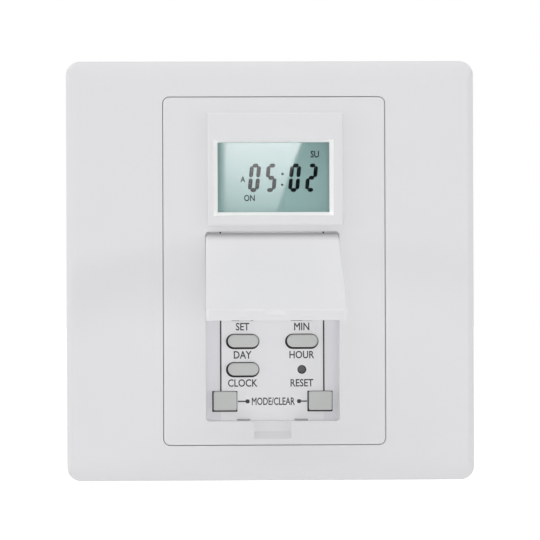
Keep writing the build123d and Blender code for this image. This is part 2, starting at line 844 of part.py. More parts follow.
# Flap, standing open on its two side pins. Its own plane has X along the hinge and Y up the flap.
open_angle = radians(flap_open)
flap_plane = Plane(
    origin=(bay_centre, -hinge_height, hinge_z),
    x_dir=(1, 0, 0),
    z_dir=(0, -cos(open_angle), sin(open_angle)),
)
flap_side = Plane(origin=flap_plane.origin, x_dir=flap_plane.y_dir, z_dir=flap_plane.x_dir)
flap_half = flap_thickness / 2
with BuildPart() as flap:
    with BuildSketch(flap_side):
        with BuildLine():
            Line((-flap_reach, flap_half), (0, flap_half))
            ThreePointArc((0, flap_half), (flap_half, 0), (0, -flap_half))
            Polyline((0, -flap_half), (-flap_reach, -flap_half), (-flap_reach, flap_half))
        make_face()
    extrude(amount=flap_width / 2, both=True)
    # Relief at the two hinge corners
    with BuildSketch(flap_plane.offset(-flap_half - skirt_depth)):
        for side in (-1, 1):
            with BuildLine():
                Polyline(
                    (side * (flap_width / 2 - ear_cut_width), flap_half),
                    (side * flap_width / 2, flap_half - ear_cut_length),
                    (side * (flap_width / 2 + overrun), flap_half - ear_cut_length),
                    (side * (flap_width / 2 + overrun), flap_half + overrun),
                    (side * (flap_width / 2 - ear_cut_width), flap_half + overrun),
                    close=True,
                )
            make_face()
    extrude(amount=flap_thickness + skirt_depth + overrun, mode=Mode.SUBTRACT)
    # Rounded corners at the free edge, then a soft rim round the front
    free_face = flap.faces().sort_by(Axis(flap_plane.origin, flap_plane.y_dir))[0]
    fillet(free_face.edges().filter_by(Axis(flap_plane.origin, flap_plane.z_dir)), radius=flap_corner)
    free_face = flap.faces().sort_by(Axis(flap_plane.origin, flap_plane.y_dir))[0]
    fillet(free_face.edges().sort_by(Axis(flap_plane.origin, flap_plane.z_dir))[-1], radius=flap_round)
    # Side skirts on the back, ending above the rounded corners
    with BuildSketch(flap_plane.offset(-flap_half - skirt_depth)):
        with Locations((0, -(flap_reach - flap_corner + skirt_start) / 2)):
            with GridLocations(flap_width - skirt_width, 0, 2, 1):
                Rectangle(skirt_width, flap_reach - flap_corner - skirt_start)
    extrude(amount=skirt_depth)
    # Pins
    with BuildSketch(flap_side):
        Circle(hinge_pin_radius)
    extrude(amount=flap_width / 2 + hinge_pin_length, both=True)
    # Fine line near the free edge
    with BuildSketch(flap_plane.offset(flap_half - fine_line_depth)):
        with Locations((0, fine_line_inset - flap_reach)):
            Rectangle(flap_width - 2 * fine_line_margin, fine_line_width)
    extrude(amount=fine_line_depth, mode=Mode.SUBTRACT)
    # Thumb grip at the middle of the free edge
    with BuildSketch(flap_plane.offset(flap_half)):
        with Locations((0, -flap_reach)):
            Rectangle(grip_width, 2 * grip_depth)
    extrude(amount=-grip_height, mode=Mode.SUBTRACT)
    # Two low bumps that click into the latch slots
    with BuildSketch(flap_plane.offset(-flap_half)):
        with Locations((0, -flap_reach)):
            with GridLocations(2 * latch_x, 0, 2, 1):
                Rectangle(bump_width, 2 * bump_depth)
    extrude(amount=bump_height)
flap.part.label = "flap"
export_step(flap.part, "parts/flap.step")

# Control board
with BuildPart() as control_board:
    with BuildSketch(wall_plane(board_back)):
        RectangleRounded(board_width, board_height, board_corner)
        with GridLocations(2 * post_x, 2 * post_z, 2, 2):
            Circle(screw_radius + thread_gap, mode=Mode.SUBTRACT)
        with GridLocations(2 * board_screw_x, 0, 2, 1):
            Circle(board_screw_radius + thread_gap, mode=Mode.SUBTRACT)
    extrude(amount=board_thickness)
control_board.part.label = "control_board"
export_step(control_board.part, "parts/control_board.step")

# Two screws that hold the control board to the panel
with BuildPart() as board_screws:
    with BuildSketch(wall_plane(board_back - board_screw_head)):
        with GridLocations(2 * board_screw_x, 0, 2, 1):
            Circle(board_screw_head_radius)
    extrude(amount=board_screw_head)
    with BuildSketch(wall_plane(board_back)):
        with GridLocations(2 * board_screw_x, 0, 2, 1):
            Circle(board_screw_radius)
    extrude(amount=board_screw_length)
    with BuildSketch(wall_plane(board_back - board_screw_head)):
        with GridLocations(2 * board_screw_x, 0, 2, 1):
            Rectangle(2 * board_screw_head_radius, driver_slot)
    extrude(amount=board_screw_head / 2, mode=Mode.SUBTRACT)
board_screws.part.label = "board_screws"
export_step(board_screws.part, "parts/board_screws.step")

# Controller chip on the back of the control board, with a row of leads on each side
with BuildPart() as control_chip:
    with BuildSketch(wall_plane(board_back - chip_thickness)):
        with Locations((chip_x, chip_z)):
            Rectangle(chip_side, chip_side)
            with Locations((-chip_side / 2 + chip_leg_reach, chip_side / 2 - chip_leg_reach)):
                Circle(chip_leg_width)
    extrude(amount=chip_thickness)
    with BuildSketch(wall_plane(board_back - chip_leg_thickness)):
        with Locations((chip_x, chip_z)):
            for turn in (0, 90):
                with Locations(Location((0, 0), turn)):
                    with GridLocations(chip_side + chip_leg_reach, chip_leg_distance, 2, chip_legs_per_side):
                        Rectangle(chip_leg_reach, chip_leg_width)
    extrude(amount=chip_leg_thickness)
control_chip.part.label = "control_chip"
export_step(control_chip.part, "parts/control_chip.step")

# Watch crystal, a small can lying on the board
with BuildPart() as quartz_crystal:
    with BuildSketch(Plane(origin=(crystal_x, -board_back + crystal_radius, crystal_z), z_dir=(0, 0, 1))):
        Circle(crystal_radius)
    extrude(amount=crystal_length)
quartz_crystal.part.label = "quartz_crystal"
export_step(quartz_crystal.part, "parts/quartz_crystal.step")

# Backup cell and the clip across it
with BuildPart() as backup_cell:
    with BuildSketch(wall_plane(board_back - cell_thickness)):
        with Locations((cell_x, cell_z)):
            Circle(cell_radius)
    extrude(amount=cell_thickness)
    fillet(backup_cell.faces().sort_by(Axis.Y)[-1].edges(), radius=clip_thickness)
backup_cell.part.label = "backup_cell"
export_step(backup_cell.part, "parts/backup_cell.step")

with BuildPart() as cell_clip:
    with BuildSketch(wall_plane(board_back - cell_thickness - clip_thickness)):
        with Locations((cell_x, cell_z)):
            Rectangle(2 * (cell_radius + clip_gap + clip_thickness), clip_width)
    extrude(amount=cell_thickness + clip_thickness)
    with BuildSketch(wall_plane(board_back - cell_thickness)):
        with Locations((cell_x, cell_z)):
            Rectangle(2 * (cell_radius + clip_gap), clip_width)
    extrude(amount=cell_thickness, mode=Mode.SUBTRACT)
cell_clip.part.label = "cell_clip"
export_step(cell_clip.part, "parts/cell_clip.step")

# Stacking header between the two boards
header_width = header_distance * header_pins
socket_foot = board_back - socket_depth
with BuildPart() as header_socket:
    with BuildSketch(wall_plane(socket_foot)):
        with Locations((header_x, header_z)):
            Rectangle(header_width, header_depth)
            with GridLocations(header_distance, 0, header_pins, 1):
                Circle(header_pin_radius + socket_pin_gap, mode=Mode.SUBTRACT)
    extrude(amount=socket_depth)
header_socket.part.label = "header_socket"
export_step(header_socket.part, "parts/header_socket.step")

with BuildPart() as pin_header:
    with BuildSketch(wall_plane(power_front)):
        with Locations((header_x, header_z)):
            Rectangle(header_width, header_depth)
    extrude(amount=header_depth)
    with BuildSketch(wall_plane(-power_board_back - lead_stub)):
        with Locations((header_x, header_z)):
            with GridLocations(header_distance, 0, header_pins, 1):
                Circle(header_pin_radius)
    extrude(amount=board_back - socket_play + power_board_back + lead_stub)
pin_header.part.label = "pin_header"
export_step(pin_header.part, "parts/pin_header.step")

# Rear case with four screw posts, shoulders for the power board, vents and terminal openings
pole_places = [((index - (pole_count - 1) / 2) * pole_distance, 0) for index in range(pole_count)]
with BuildPart() as rear_case:
    with BuildSketch(wall_plane(-case_depth)):
        RectangleRounded(case_width, case_height, case_corner)
    extrude(amount=case_depth)
    fillet(rear_case.faces().sort_by(Axis.Y)[-1].edges(), radius=case_wall / 2)
    with BuildSketch(wall_plane(case_floor)):
        RectangleRounded(case_width - 2 * case_wall, case_height - 2 * case_wall, case_corner - case_wall)
    extrude(amount=case_depth - case_back, mode=Mode.SUBTRACT)
    with BuildSketch(wall_plane(case_floor)):
        with GridLocations(2 * post_x, 2 * post_z, 2, 2):
            Circle(post_radius)
    extrude(amount=board_back - case_floor)
    with BuildSketch(wall_plane(case_floor)):
        with GridLocations(2 * post_x, 2 * post_z, 2, 2):
            Circle(shoulder_radius)
    extrude(amount=-power_board_back - case_floor)
    with BuildSketch(wall_plane(-case_depth)):
        with GridLocations(2 * post_x, 2 * post_z, 2, 2):
            Circle(post_bore)
    extrude(amount=board_back - post_tip + case_depth, mode=Mode.SUBTRACT)
    with BuildSketch(wall_plane(-case_depth)):
        with GridLocations(2 * post_x, 2 * post_z, 2, 2):
            Circle(screw_radius + thread_gap)
    extrude(amount=board_back + case_depth, mode=Mode.SUBTRACT)
    # Vents, a shallow bare recess and the wire holes in the back
    with BuildSketch(wall_plane(-case_depth)):
        with Locations((0, vent_share * post_z)):
            with GridLocations(0, vent_distance, 1, vent_count):
                SlotOverall(vent_length, vent_width)
        with Locations((0, wire_z)):
            with GridLocations(pole_distance, 0, pole_count, 1):
                Circle(wire_radius + wire_mouth_gap)
    extrude(amount=case_back, mode=Mode.SUBTRACT)
    with BuildSketch(wall_plane(-case_depth)):
        with Locations((0, back_recess_share * post_z)):
            Rectangle(back_recess_width, back_recess_height)
    extrude(amount=back_recess_depth, mode=Mode.SUBTRACT)
    # Screwdriver holes in the lower wall
    with BuildSketch(Plane.XY.offset(-case_height / 2)):
        with Locations((0, clamp_screw_depth)):
            with GridLocations(pole_distance, 0, pole_count, 1):
                Circle(clamp_screw_head_radius + clamp_screw_mouth_gap)
    extrude(amount=case_wall, mode=Mode.SUBTRACT)
rear_case.part.label = "rear_case"
export_step(rear_case.part, "parts/rear_case.step")

# Four long screws from the back of the case into the panel
screw_seat = board_back - post_tip
with BuildPart() as case_screws:
    with BuildSketch(wall_plane(screw_seat - screw_head)):
        with GridLocations(2 * post_x, 2 * post_z, 2, 2):
            Circle(screw_head_radius)
    extrude(amount=screw_head)
    with BuildSketch(wall_plane(screw_seat)):
        with GridLocations(2 * post_x, 2 * post_z, 2, 2):
            Circle(screw_radius)
    extrude(amount=screw_reach)
    with BuildSketch(wall_plane(screw_seat - screw_head)):
        with GridLocations(2 * post_x, 2 * post_z, 2, 2):
            Rectangle(2 * screw_radius, driver_slot)
            Rectangle(driver_slot, 2 * screw_radius)
    extrude(amount=driver_depth, mode=Mode.SUBTRACT)
case_screws.part.label = "case_screws"
export_step(case_screws.part, "parts/case_screws.step")

# Where each lead passes through the power board
relay_leads = [
    (relay_x + side * relay_lead_x, relay_z + end * relay_lead_z) for side in (-1, 1) for end in (-1, 1)
]
film_leads = side_by_side(film_x, film_z, film_span)
can_leads = side_by_side(can_x, can_z, can_span)
disc_leads = side_by_side(disc_x, disc_z, disc_span)
fuse_leads = side_by_side(fuse_x, fuse_z, fuse_span)
resistor_leads = side_by_side(resistor_x, resistor_z, resistor_span)
diode_columns = [diode_x + (index - (diode_count - 1) / 2) * diode_distance for index in range(diode_count)]
diode_leads = [(x, diode_z + end * diode_span / 2) for x in diode_columns for end in (-1, 1)]
transistor_leads = [(transistor_x + index * transistor_distance, transistor_z) for index in (-1, 0, 1)]
header_leads = [
    (header_x + (index - (header_pins - 1) / 2) * header_distance, header_z) for index in range(header_pins)
]
pole_leads = [(x, clamp_z - clamp_height / 2 + 2 * clamp_pin_radius) for x, _ in pole_places]
all_leads = relay_leads + film_leads + can_leads + disc_leads + fuse_leads + resistor_leads
all_leads += diode_leads + transistor_leads + header_leads
lead_reach = power_board_thickness + lead_stub

# Power board, on the shoulders of the case's posts
with BuildPart() as power_board:
    with BuildSketch(wall_plane(-power_board_back)):
        Rectangle(power_board_width, power_board_height)
        with GridLocations(2 * post_x, 2 * post_z, 2, 2):
            Circle(post_radius + power_board_post_gap, mode=Mode.SUBTRACT)
        with Locations(*all_leads):
            Circle(lead_radius + lead_gap, mode=Mode.SUBTRACT)
        with Locations(*pole_leads):
            Circle(clamp_pin_radius + lead_gap, mode=Mode.SUBTRACT)
    extrude(amount=power_board_thickness)
power_board.part.label = "power_board"
export_step(power_board.part, "parts/power_board.step")

# Relay
with BuildPart() as relay:
    with BuildSketch(wall_plane(power_front)):
        with Locations((relay_x, relay_z)):
            Rectangle(relay_width, relay_height)
    extrude(amount=relay_depth)
    fillet(relay.edges().filter_by(Axis.Y), radius=2 * lead_radius)
    with BuildSketch(wall_plane(power_front)):
        with Locations(*relay_leads):
            Circle(lead_radius)
    extrude(amount=-lead_reach)
relay.part.label = "relay"
export_step(relay.part, "parts/relay.step")

# Dropper capacitor, a film capacitor in a box
with BuildPart() as dropper_capacitor:
    with BuildSketch(wall_plane(power_front)):
        with Locations((film_x, film_z)):
            Rectangle(film_width, film_height)
    extrude(amount=film_depth)
    fillet(dropper_capacitor.edges().filter_by(Axis.Y), radius=2 * lead_radius)
    with BuildSketch(wall_plane(power_front)):
        with Locations(*film_leads):
            Circle(lead_radius)
    extrude(amount=-lead_reach)
dropper_capacitor.part.label = "dropper_capacitor"
export_step(dropper_capacitor.part, "parts/dropper_capacitor.step")

# Smoothing capacitor, a can with a rolled neck near its foot
with BuildPart() as smoothing_capacitor:
    with BuildSketch(wall_plane(power_front)):
        with Locations((can_x, can_z)):
            Circle(can_radius)
    extrude(amount=can_depth)
    fillet(smoothing_capacitor.faces().sort_by(Axis.Y)[0].edges(), radius=2 * can_groove)
    with BuildSketch(wall_plane(power_front + can_radius / 2)):
        with Locations((can_x, can_z)):
            Circle(can_radius)
            Circle(can_radius - can_groove, mode=Mode.SUBTRACT)
    extrude(amount=2 * can_groove, mode=Mode.SUBTRACT)
    with BuildSketch(wall_plane(power_front)):
        with Locations(*can_leads):
            Circle(lead_radius)
    extrude(amount=-lead_reach)
smoothing_capacitor.part.label = "smoothing_capacitor"
export_step(smoothing_capacitor.part, "parts/smoothing_capacitor.step")

# Surge varistor, a coated disc on its two leads
with BuildPart() as varistor:
    with BuildSketch(Plane.XY.offset(disc_z)):
        with Locations((disc_x, -(power_front + disc_lift + disc_radius))):
            Circle(disc_radius)
    extrude(amount=disc_thickness / 2, both=True)
    fillet(varistor.edges(), radius=disc_thickness / 3)
    with BuildSketch(wall_plane(-power_board_back - lead_stub)):
        with Locations(*disc_leads):
            Circle(lead_radius)
    extrude(amount=lead_reach + disc_lift + disc_radius / 2)
varistor.part.label = "varistor"
export_step(varistor.part, "parts/varistor.step")

# Fuse in a round plastic cap
with BuildPart() as fuse:
    with BuildSketch(wall_plane(power_front)):
        with Locations((fuse_x, fuse_z)):
            Circle(fuse_radius)
    extrude(amount=fuse_depth)
    chamfer(fuse.faces().sort_by(Axis.Y)[0].edges(), length=2 * lead_radius)
    with BuildSketch(wall_plane(power_front)):
        with Locations(*fuse_leads):
            Circle(lead_radius)
    extrude(amount=-lead_reach)
fuse.part.label = "fuse"
export_step(fuse.part, "parts/fuse.step")

# Four rectifier diodes, each with its two bent leads
with BuildPart() as rectifier_diodes:
    for column in diode_columns:
        with BuildSketch(Plane(origin=(column, -power_front - diode_radius, diode_z), z_dir=(0, 0, 1))):
            Circle(diode_radius)
        extrude(amount=diode_length / 2, both=True)
        with BuildSketch(Plane(origin=(column, -power_front - diode_radius, diode_z), z_dir=(0, 0, 1))):
            Circle(lead_radius)
        extrude(amount=diode_span / 2, both=True)
    with BuildSketch(wall_plane(-power_board_back - lead_stub)):
        with Locations(*diode_leads):
            Circle(lead_radius)
    extrude(amount=lead_reach + diode_radius)
rectifier_diodes.part.label = "rectifier_diodes"
export_step(rectifier_diodes.part, "parts/rectifier_diodes.step")

# Power resistor, lying along the board
with BuildPart() as power_resistor:
    resistor_plane = Plane(origin=(resistor_x, -power_front - resistor_radius, resistor_z), z_dir=(1, 0, 0))
    with BuildSketch(resistor_plane):
        Circle(resistor_radius)
    extrude(amount=resistor_length / 2, both=True)
    fillet(power_resistor.edges().filter_by(GeomType.CIRCLE), radius=lead_radius)
    with BuildSketch(resistor_plane):
        Circle(lead_radius)
    extrude(amount=resistor_span / 2, both=True)
    with BuildSketch(wall_plane(-power_board_back - lead_stub)):
        with Locations(*resistor_leads):
            Circle(lead_radius)
    extrude(amount=lead_reach + resistor_radius)
power_resistor.part.label = "power_resistor"
export_step(power_resistor.part, "parts/power_resistor.step")

# Relay driver transistor, a flat-faced plastic body on three leads
with BuildPart() as driver_transistor:
    with BuildSketch(wall_plane(power_front + transistor_lift)):
        with Locations((transistor_x, transistor_z)):
            Circle(transistor_radius)
            with Locations((0, -transistor_flat - transistor_radius)):
                Rectangle(2 * transistor_radius, 2 * transistor_radius, mode=Mode.SUBTRACT)
    extrude(amount=transistor_depth)
    with BuildSketch(wall_plane(-power_board_back - lead_stub)):
        with Locations(*transistor_leads):
            Circle(lead_radius)
    extrude(amount=lead_reach + transistor_lift)
driver_transistor.part.label = "driver_transistor"
export_step(driver_transistor.part, "parts/driver_transistor.step")

# Terminal block housing: one cell for each pole
cell_width = clamp_width + 2 * clamp_gap
cell_height = clamp_height + 2 * clamp_gap
with BuildPart() as terminal_block:
    with BuildSketch(wall_plane(case_floor)):
        with Locations((0, block_z)):
            Rectangle(block_width, block_height)
    extrude(amount=-power_board_back - case_floor)
    with BuildSketch(wall_plane(case_floor + cell_back)):
        with Locations((0, clamp_z)):
            with GridLocations(pole_distance, 0, pole_count, 1):
                Rectangle(cell_width, cell_height)
    extrude(amount=-power_board_back - case_floor - cell_back, mode=Mode.SUBTRACT)
    with BuildSketch(wall_plane(case_floor)):
        with Locations((0, wire_z)):
            with GridLocations(pole_distance, 0, pole_count, 1):
                Circle(wire_radius + wire_mouth_gap)
    extrude(amount=cell_back, mode=Mode.SUBTRACT)
    with BuildSketch(Plane.XY.offset(block_z - block_height / 2)):
        with Locations((0, clamp_screw_depth)):
            with GridLocations(pole_distance, 0, pole_count, 1):
                Circle(clamp_screw_head_radius + clamp_screw_mouth_gap / 2)
    extrude(amount=clamp_z - block_z + (block_height - cell_height) / 2, mode=Mode.SUBTRACT)
terminal_block.part.label = "terminal_block"
export_step(terminal_block.part, "parts/terminal_block.step")

# Brass clamps: a wire bore from the back, a threaded hole from below and a pin into the board
clamp_depth = clamp_front - clamp_back
with BuildPart() as terminal_clamps:
    with BuildSketch(wall_plane(clamp_back)):
        with Locations((0, clamp_z)):
            with GridLocations(pole_distance, 0, pole_count, 1):
                Rectangle(clamp_width, clamp_height)
    extrude(amount=clamp_depth)
    with BuildSketch(wall_plane(clamp_front)):
        with Locations(*pole_leads):
            Circle(clamp_pin_radius)
    extrude(amount=clamp_gap + lead_reach)
    with BuildSketch(wall_plane(clamp_back)):
        with Locations((0, wire_z)):
            with GridLocations(pole_distance, 0, pole_count, 1):
                Circle(wire_radius)
    extrude(amount=clamp_depth, mode=Mode.SUBTRACT)
    with BuildSketch(Plane.XY.offset(clamp_z - clamp_height / 2)):
        with Locations((0, clamp_screw_depth)):
            with GridLocations(pole_distance, 0, pole_count, 1):
                Circle(clamp_screw_radius + thread_gap)
    extrude(amount=wire_z - clamp_z + clamp_height / 2, mode=Mode.SUBTRACT)
terminal_clamps.part.label = "terminal_clamps"
export_step(terminal_clamps.part, "parts/terminal_clamps.step")

# Clamp screws, driven from below
screw_tip = wire_z - wire_radius - clamp_screw_clear
screw_shoulder = clamp_z - clamp_height / 2 - clamp_screw_neck
with BuildPart() as terminal_screws:
    with BuildSketch(Plane.XY.offset(screw_shoulder)):
        with Locations((0, clamp_screw_depth)):
            with GridLocations(pole_distance, 0, pole_count, 1):
                Circle(clamp_screw_radius)
    extrude(amount=screw_tip - screw_shoulder)
    with BuildSketch(Plane.XY.offset(screw_shoulder - clamp_screw_head)):
        with Locations((0, clamp_screw_depth)):
            with GridLocations(pole_distance, 0, pole_count, 1):
                Circle(clamp_screw_head_radius)
    extrude(amount=clamp_screw_head)
    with BuildSketch(Plane.XY.offset(screw_shoulder - clamp_screw_head)):
        with Locations((0, clamp_screw_depth)):
            with GridLocations(pole_distance, 0, pole_count, 1):
                Rectangle(2 * clamp_screw_head_radius, driver_slot)
    extrude(amount=driver_depth, mode=Mode.SUBTRACT)
terminal_screws.part.label = "terminal_screws"
export_step(terminal_screws.part, "parts/terminal_screws.step")
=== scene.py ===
"""Looks of a wall timer switch: mouldings, display, keys, printed words, boards, case and stage.

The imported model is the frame: X runs to the right as seen from the room, Z runs up, and the front
faces -Y. Sizes are in metres. A rise is a distance in front of the wall plane y = 0.
"""

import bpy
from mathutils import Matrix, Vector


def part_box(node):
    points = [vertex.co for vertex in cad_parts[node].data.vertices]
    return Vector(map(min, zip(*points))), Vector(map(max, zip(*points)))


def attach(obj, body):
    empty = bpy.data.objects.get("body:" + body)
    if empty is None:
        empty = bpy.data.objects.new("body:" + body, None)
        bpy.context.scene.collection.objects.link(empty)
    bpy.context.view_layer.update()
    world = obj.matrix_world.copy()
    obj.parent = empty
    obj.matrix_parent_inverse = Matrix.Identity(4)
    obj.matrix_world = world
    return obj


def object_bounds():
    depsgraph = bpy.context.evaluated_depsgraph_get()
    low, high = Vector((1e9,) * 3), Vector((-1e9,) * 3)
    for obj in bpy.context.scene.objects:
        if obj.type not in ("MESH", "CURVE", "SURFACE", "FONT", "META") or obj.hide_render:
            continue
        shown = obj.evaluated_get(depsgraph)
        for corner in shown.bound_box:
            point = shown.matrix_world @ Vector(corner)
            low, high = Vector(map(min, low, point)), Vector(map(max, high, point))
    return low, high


bl_info = {
    "name": "Timer switch looks",
    "version": (1, 0, 0),
    "blender": (4, 5, 0),
    "location": "View3D > Sidebar > Timer switch",
    "description": "Finishes, display figures, key labels and studio for a wall timer switch",
    "category": "Object",
}

import math

import bmesh
import bpy
import numpy as np
from mathutils import Matrix, Vector

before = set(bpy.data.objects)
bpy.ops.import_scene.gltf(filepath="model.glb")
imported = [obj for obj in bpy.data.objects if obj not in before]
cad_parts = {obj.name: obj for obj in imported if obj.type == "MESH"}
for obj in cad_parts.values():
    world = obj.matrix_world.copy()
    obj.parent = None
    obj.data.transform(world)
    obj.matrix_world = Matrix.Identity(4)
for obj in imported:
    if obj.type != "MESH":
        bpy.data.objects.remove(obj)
cad_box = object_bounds()

MM = 0.001
INK_DEPTH = 0.012 * MM
TINNED = (0.72, 0.72, 0.70, 1.0)


def middle(node):
    """Centre of a CAD node's box."""
    low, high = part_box(node)
    return (low + high) / 2


FLOOR_RISE = -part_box("keypad_plate")[0].y
GLASS_RISE = -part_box("lcd_front_glass")[0].y
BEZEL_RISE = -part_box("center_panel")[0].y
GLASS_Z = middle("lcd_front_glass").z
FIGURE_Z = GLASS_Z - 0.08 * MM
BAY_X = middle("keypad_plate").x


# Shader arithmetic


class Wire:
    """A shader socket that takes part in Python arithmetic. Each operator adds one Math node."""

    def __init__(self, look, socket):
        self.look = look
        self.socket = socket

    def calc(self, operation, first, second=0.0):
        """One Math node on one or two values or sockets."""
        links = {"Value": first, "Value_001": second}
        return self.look.node("Math", {"operation": operation}, links)

    def __add__(self, other):
        return self.calc("ADD", self, other)

    def __radd__(self, other):
        return self.calc("ADD", other, self)

    def __sub__(self, other):
        return self.calc("SUBTRACT", self, other)

    def __rsub__(self, other):
        return self.calc("SUBTRACT", other, self)

    def __mul__(self, other):
        return self.calc("MULTIPLY", self, other)

    def __rmul__(self, other):
        return self.calc("MULTIPLY", other, self)

    def __truediv__(self, other):
        return self.calc("DIVIDE", self, other)

    def __pow__(self, other):
        return self.calc("POWER", self, other)

    def __gt__(self, other):
        return self.calc("GREATER_THAN", self, other)

    def __lt__(self, other):
        return self.calc("LESS_THAN", self, other)

    def __abs__(self):
        return self.calc("ABSOLUTE", self)

    def larger(self, other):
        return self.calc("MAXIMUM", self, other)

    def smaller(self, other):
        return self.calc("MINIMUM", self, other)

    def clipped(self):
        """Held between 0 and 1."""
        return self.larger(0.0).smaller(1.0)

    def waved(self, length):
        """A sine of this wave length, from 0 to 1."""
        return self.calc("SINE", self * (2 * math.pi / length)) * 0.5 + 0.5


class Look:
    """One node tree, with one method that adds any node."""

    def __init__(self, tree):
        self.tree = tree
        tree.nodes.clear()

    def node(self, kind, settings=None, links=None, output=0):
        """Adds a node, sets its settings, then its sockets by value or link.

        It returns one of the node's outputs, found by number or name, or nothing for an end node.
        """
        made = self.tree.nodes.new("ShaderNode" + kind)
        for key, value in (settings or {}).items():
            setattr(made, key, value)
        for key, value in (links or {}).items():
            socket = next(s for s in made.inputs if key in (s.identifier, s.name))
            if isinstance(value, Wire):
                self.tree.links.new(value.socket, socket)
            else:
                socket.default_value = value
        if not made.outputs:
            return None
        if isinstance(output, int):
            return Wire(self, made.outputs[output])
        return Wire(self, next(s for s in made.outputs if output in (s.identifier, s.name)))

    def mix(self, factor, first, second):
        """Blends two colours."""
        links = {"Factor_Float": factor, "A_Color": first, "B_Color": second}
        return self.node("Mix", {"data_type": "RGBA"}, links, "Result_Color")

    def tint(self, colour, amount):
        """A colour made brighter or darker by a factor."""
        start = colour if isinstance(colour, Wire) else colour[:3]
        return self.node("VectorMath", {"operation": "SCALE"}, {"Vector": start, "Scale": amount}, "Vector")

    def place(self):
        """The object coordinates as one vector."""
        return self.node("TexCoord", output="Object")

    def axes(self):
        """The three object coordinates, in metres."""
        links = {"Vector": self.place()}
        return [self.node("SeparateXYZ", None, links, axis) for axis in "XYZ"]

    def noise(self, grain, detail=2.0, stretch=None):
        """Noise with features of about this grain, stretched by a factor along each axis."""
        vector = self.place()
        if stretch:
            links = {"Vector": vector, "Scale": tuple(1 / s for s in stretch)}
            vector = self.node("Mapping", {"vector_type": "POINT"}, links)
        links = {"Vector": vector, "Scale": 1 / grain, "Detail": detail}
        return self.node("TexNoise", None, links)

    def cells(self, grain, feature="F1", output="Distance"):
        """Scattered cells of about this size."""
        links = {"Vector": self.place(), "Scale": 1 / grain}
        return self.node("TexVoronoi", {"feature": feature}, links, output)

    def bump(self, height, depth):
        """A normal bent by a height from 0 to 1 that stands for this depth."""
        return self.node("Bump", None, {"Height": height, "Distance": depth, "Strength": 1.0})


def rgba(colour):
    """Three numbers as a colour with full alpha."""
    return (*tuple(colour)[:3], 1.0)


def finish_of(name, paint, **constants):
    """A material: paint(look) returns what varies, and constants are set on the shader's sockets."""
    material = bpy.data.materials.new(name)
    material.use_nodes = True
    look = Look(material.node_tree)
    sockets = dict(constants)
    sockets.update(paint(look))
    links = {key.replace("_", " "): value for key, value in sockets.items()}
    shader = look.node("BsdfPrincipled", None, links)
    look.node("OutputMaterial", None, {"Surface": shader})
    return material


def moulded(name, colour, roughness, mottle=0.012, peel=0.004 * MM, grain=0.0, shade=None, **constants):
    """Injection-moulded plastic: faint cloudy tone, a slow ripple of the skin and a fine grain.

    shade(look, tone) changes the tone from place to place.
    """

    def paint(look):
        cloud = look.noise(9 * MM, 3.0)
        ripple = look.noise(1.6 * MM, 2.0)
        fine = look.noise(0.16 * MM, 2.0)
        tone = look.tint(rgba(colour), 1 + (cloud - 0.5) * (2 * mottle) + (fine - 0.5) * mottle)
        if shade:
            tone = shade(look, tone)
        normal = look.bump(ripple * (1 - grain) + fine * grain, peel)
        rough = roughness + (cloud - 0.5) * 0.05 + (fine - 0.5) * 0.06
        return {"Base Color": tone, "Roughness": rough, "Normal": normal}

    return finish_of(name, paint, **constants)


def metal(name, colour, roughness, brush=(1, 1, 1), spangle=0.0, scratch=0.002 * MM):
    """Plated or drawn metal: stretched fine scratches, with crystal spangles where it is dipped."""

    def paint(look):
        lines = look.noise(0.12 * MM, 3.0, brush)
        cloud = look.noise(3 * MM, 2.0)
        flake = look.cells(2.2 * MM, output="Color")
        grey = look.node("SeparateColor", None, {"Color": flake})
        amount = 1 + (lines - 0.5) * 0.16 + (cloud - 0.5) * 0.08 + (grey - 0.5) * spangle
        rough = roughness + (lines - 0.5) * 0.18 + (grey - 0.5) * (spangle * 0.5)
        return {
            "Base Color": look.tint(rgba(colour), amount),
            "Roughness": rough,
            "Normal": look.bump(lines, scratch),
        }

    return finish_of(name, paint, Metallic=1.0)


def dress(material, *nodes):
    """Gives a finish to CAD nodes."""
    for node in nodes:
        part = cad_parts[node]
        part.data.materials.clear()
        part.data.materials.append(material)


def add_piece(name, mesh, material, body):
    """Links a finished mesh as a piece that rides on a body."""
    mesh.materials.clear()
    mesh.materials.append(material)
    piece = bpy.data.objects.new(name, mesh)
    bpy.context.scene.collection.objects.link(piece)
    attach(piece, body)


# Shapes


def ring_faces(rows, columns):
    """Quads between the rings of a grid, whose last column joins the first."""
    i, j = (a.ravel() for a in np.meshgrid(np.arange(rows - 1), np.arange(columns), indexing="ij"))
    after = (j + 1) % columns
    upper, lower = i * columns, (i + 1) * columns
    return np.stack([upper + j, upper + after, lower + after, lower + j], 1)


def mesh_of(name, points, faces):
    """A mesh of these points and faces, as arrays."""
    mesh = bpy.data.meshes.new(name)
    mesh.from_pydata(points.tolist(), [], [face.tolist() for face in faces])
    mesh.update()
    return mesh


def bar_points(length, width, power, thickness, side_power=2):
    """A flat bar with rounded ends, as rings of points.

    The outline is |2x/length|^power + |2y/width|^side_power = 1, walked by an angle t as
    x = length/2 sign(cos t) |cos t|^(2/power) and y = width/2 sign(sin t) |sin t|^(2/side_power).
    Ring k is the outline shrunk by a share and lifted to a height, which closes the bar front
    and back.
    """
    around = 40
    t = np.linspace(0, 2 * np.pi, around, endpoint=False)
    x = length / 2 * np.sign(np.cos(t)) * np.abs(np.cos(t)) ** (2 / power)
    y = width / 2 * np.sign(np.sin(t)) * np.abs(np.sin(t)) ** (2 / side_power)
    shrink = np.array([0.0, 0.86, 1.0, 1.0, 0.86, 0.0])[:, None]
    lift = thickness * np.array([0.0, 0.0, 0.15, 0.85, 1.0, 1.0])[:, None]
    return np.stack([x * shrink, y * shrink, lift + 0 * x], -1)


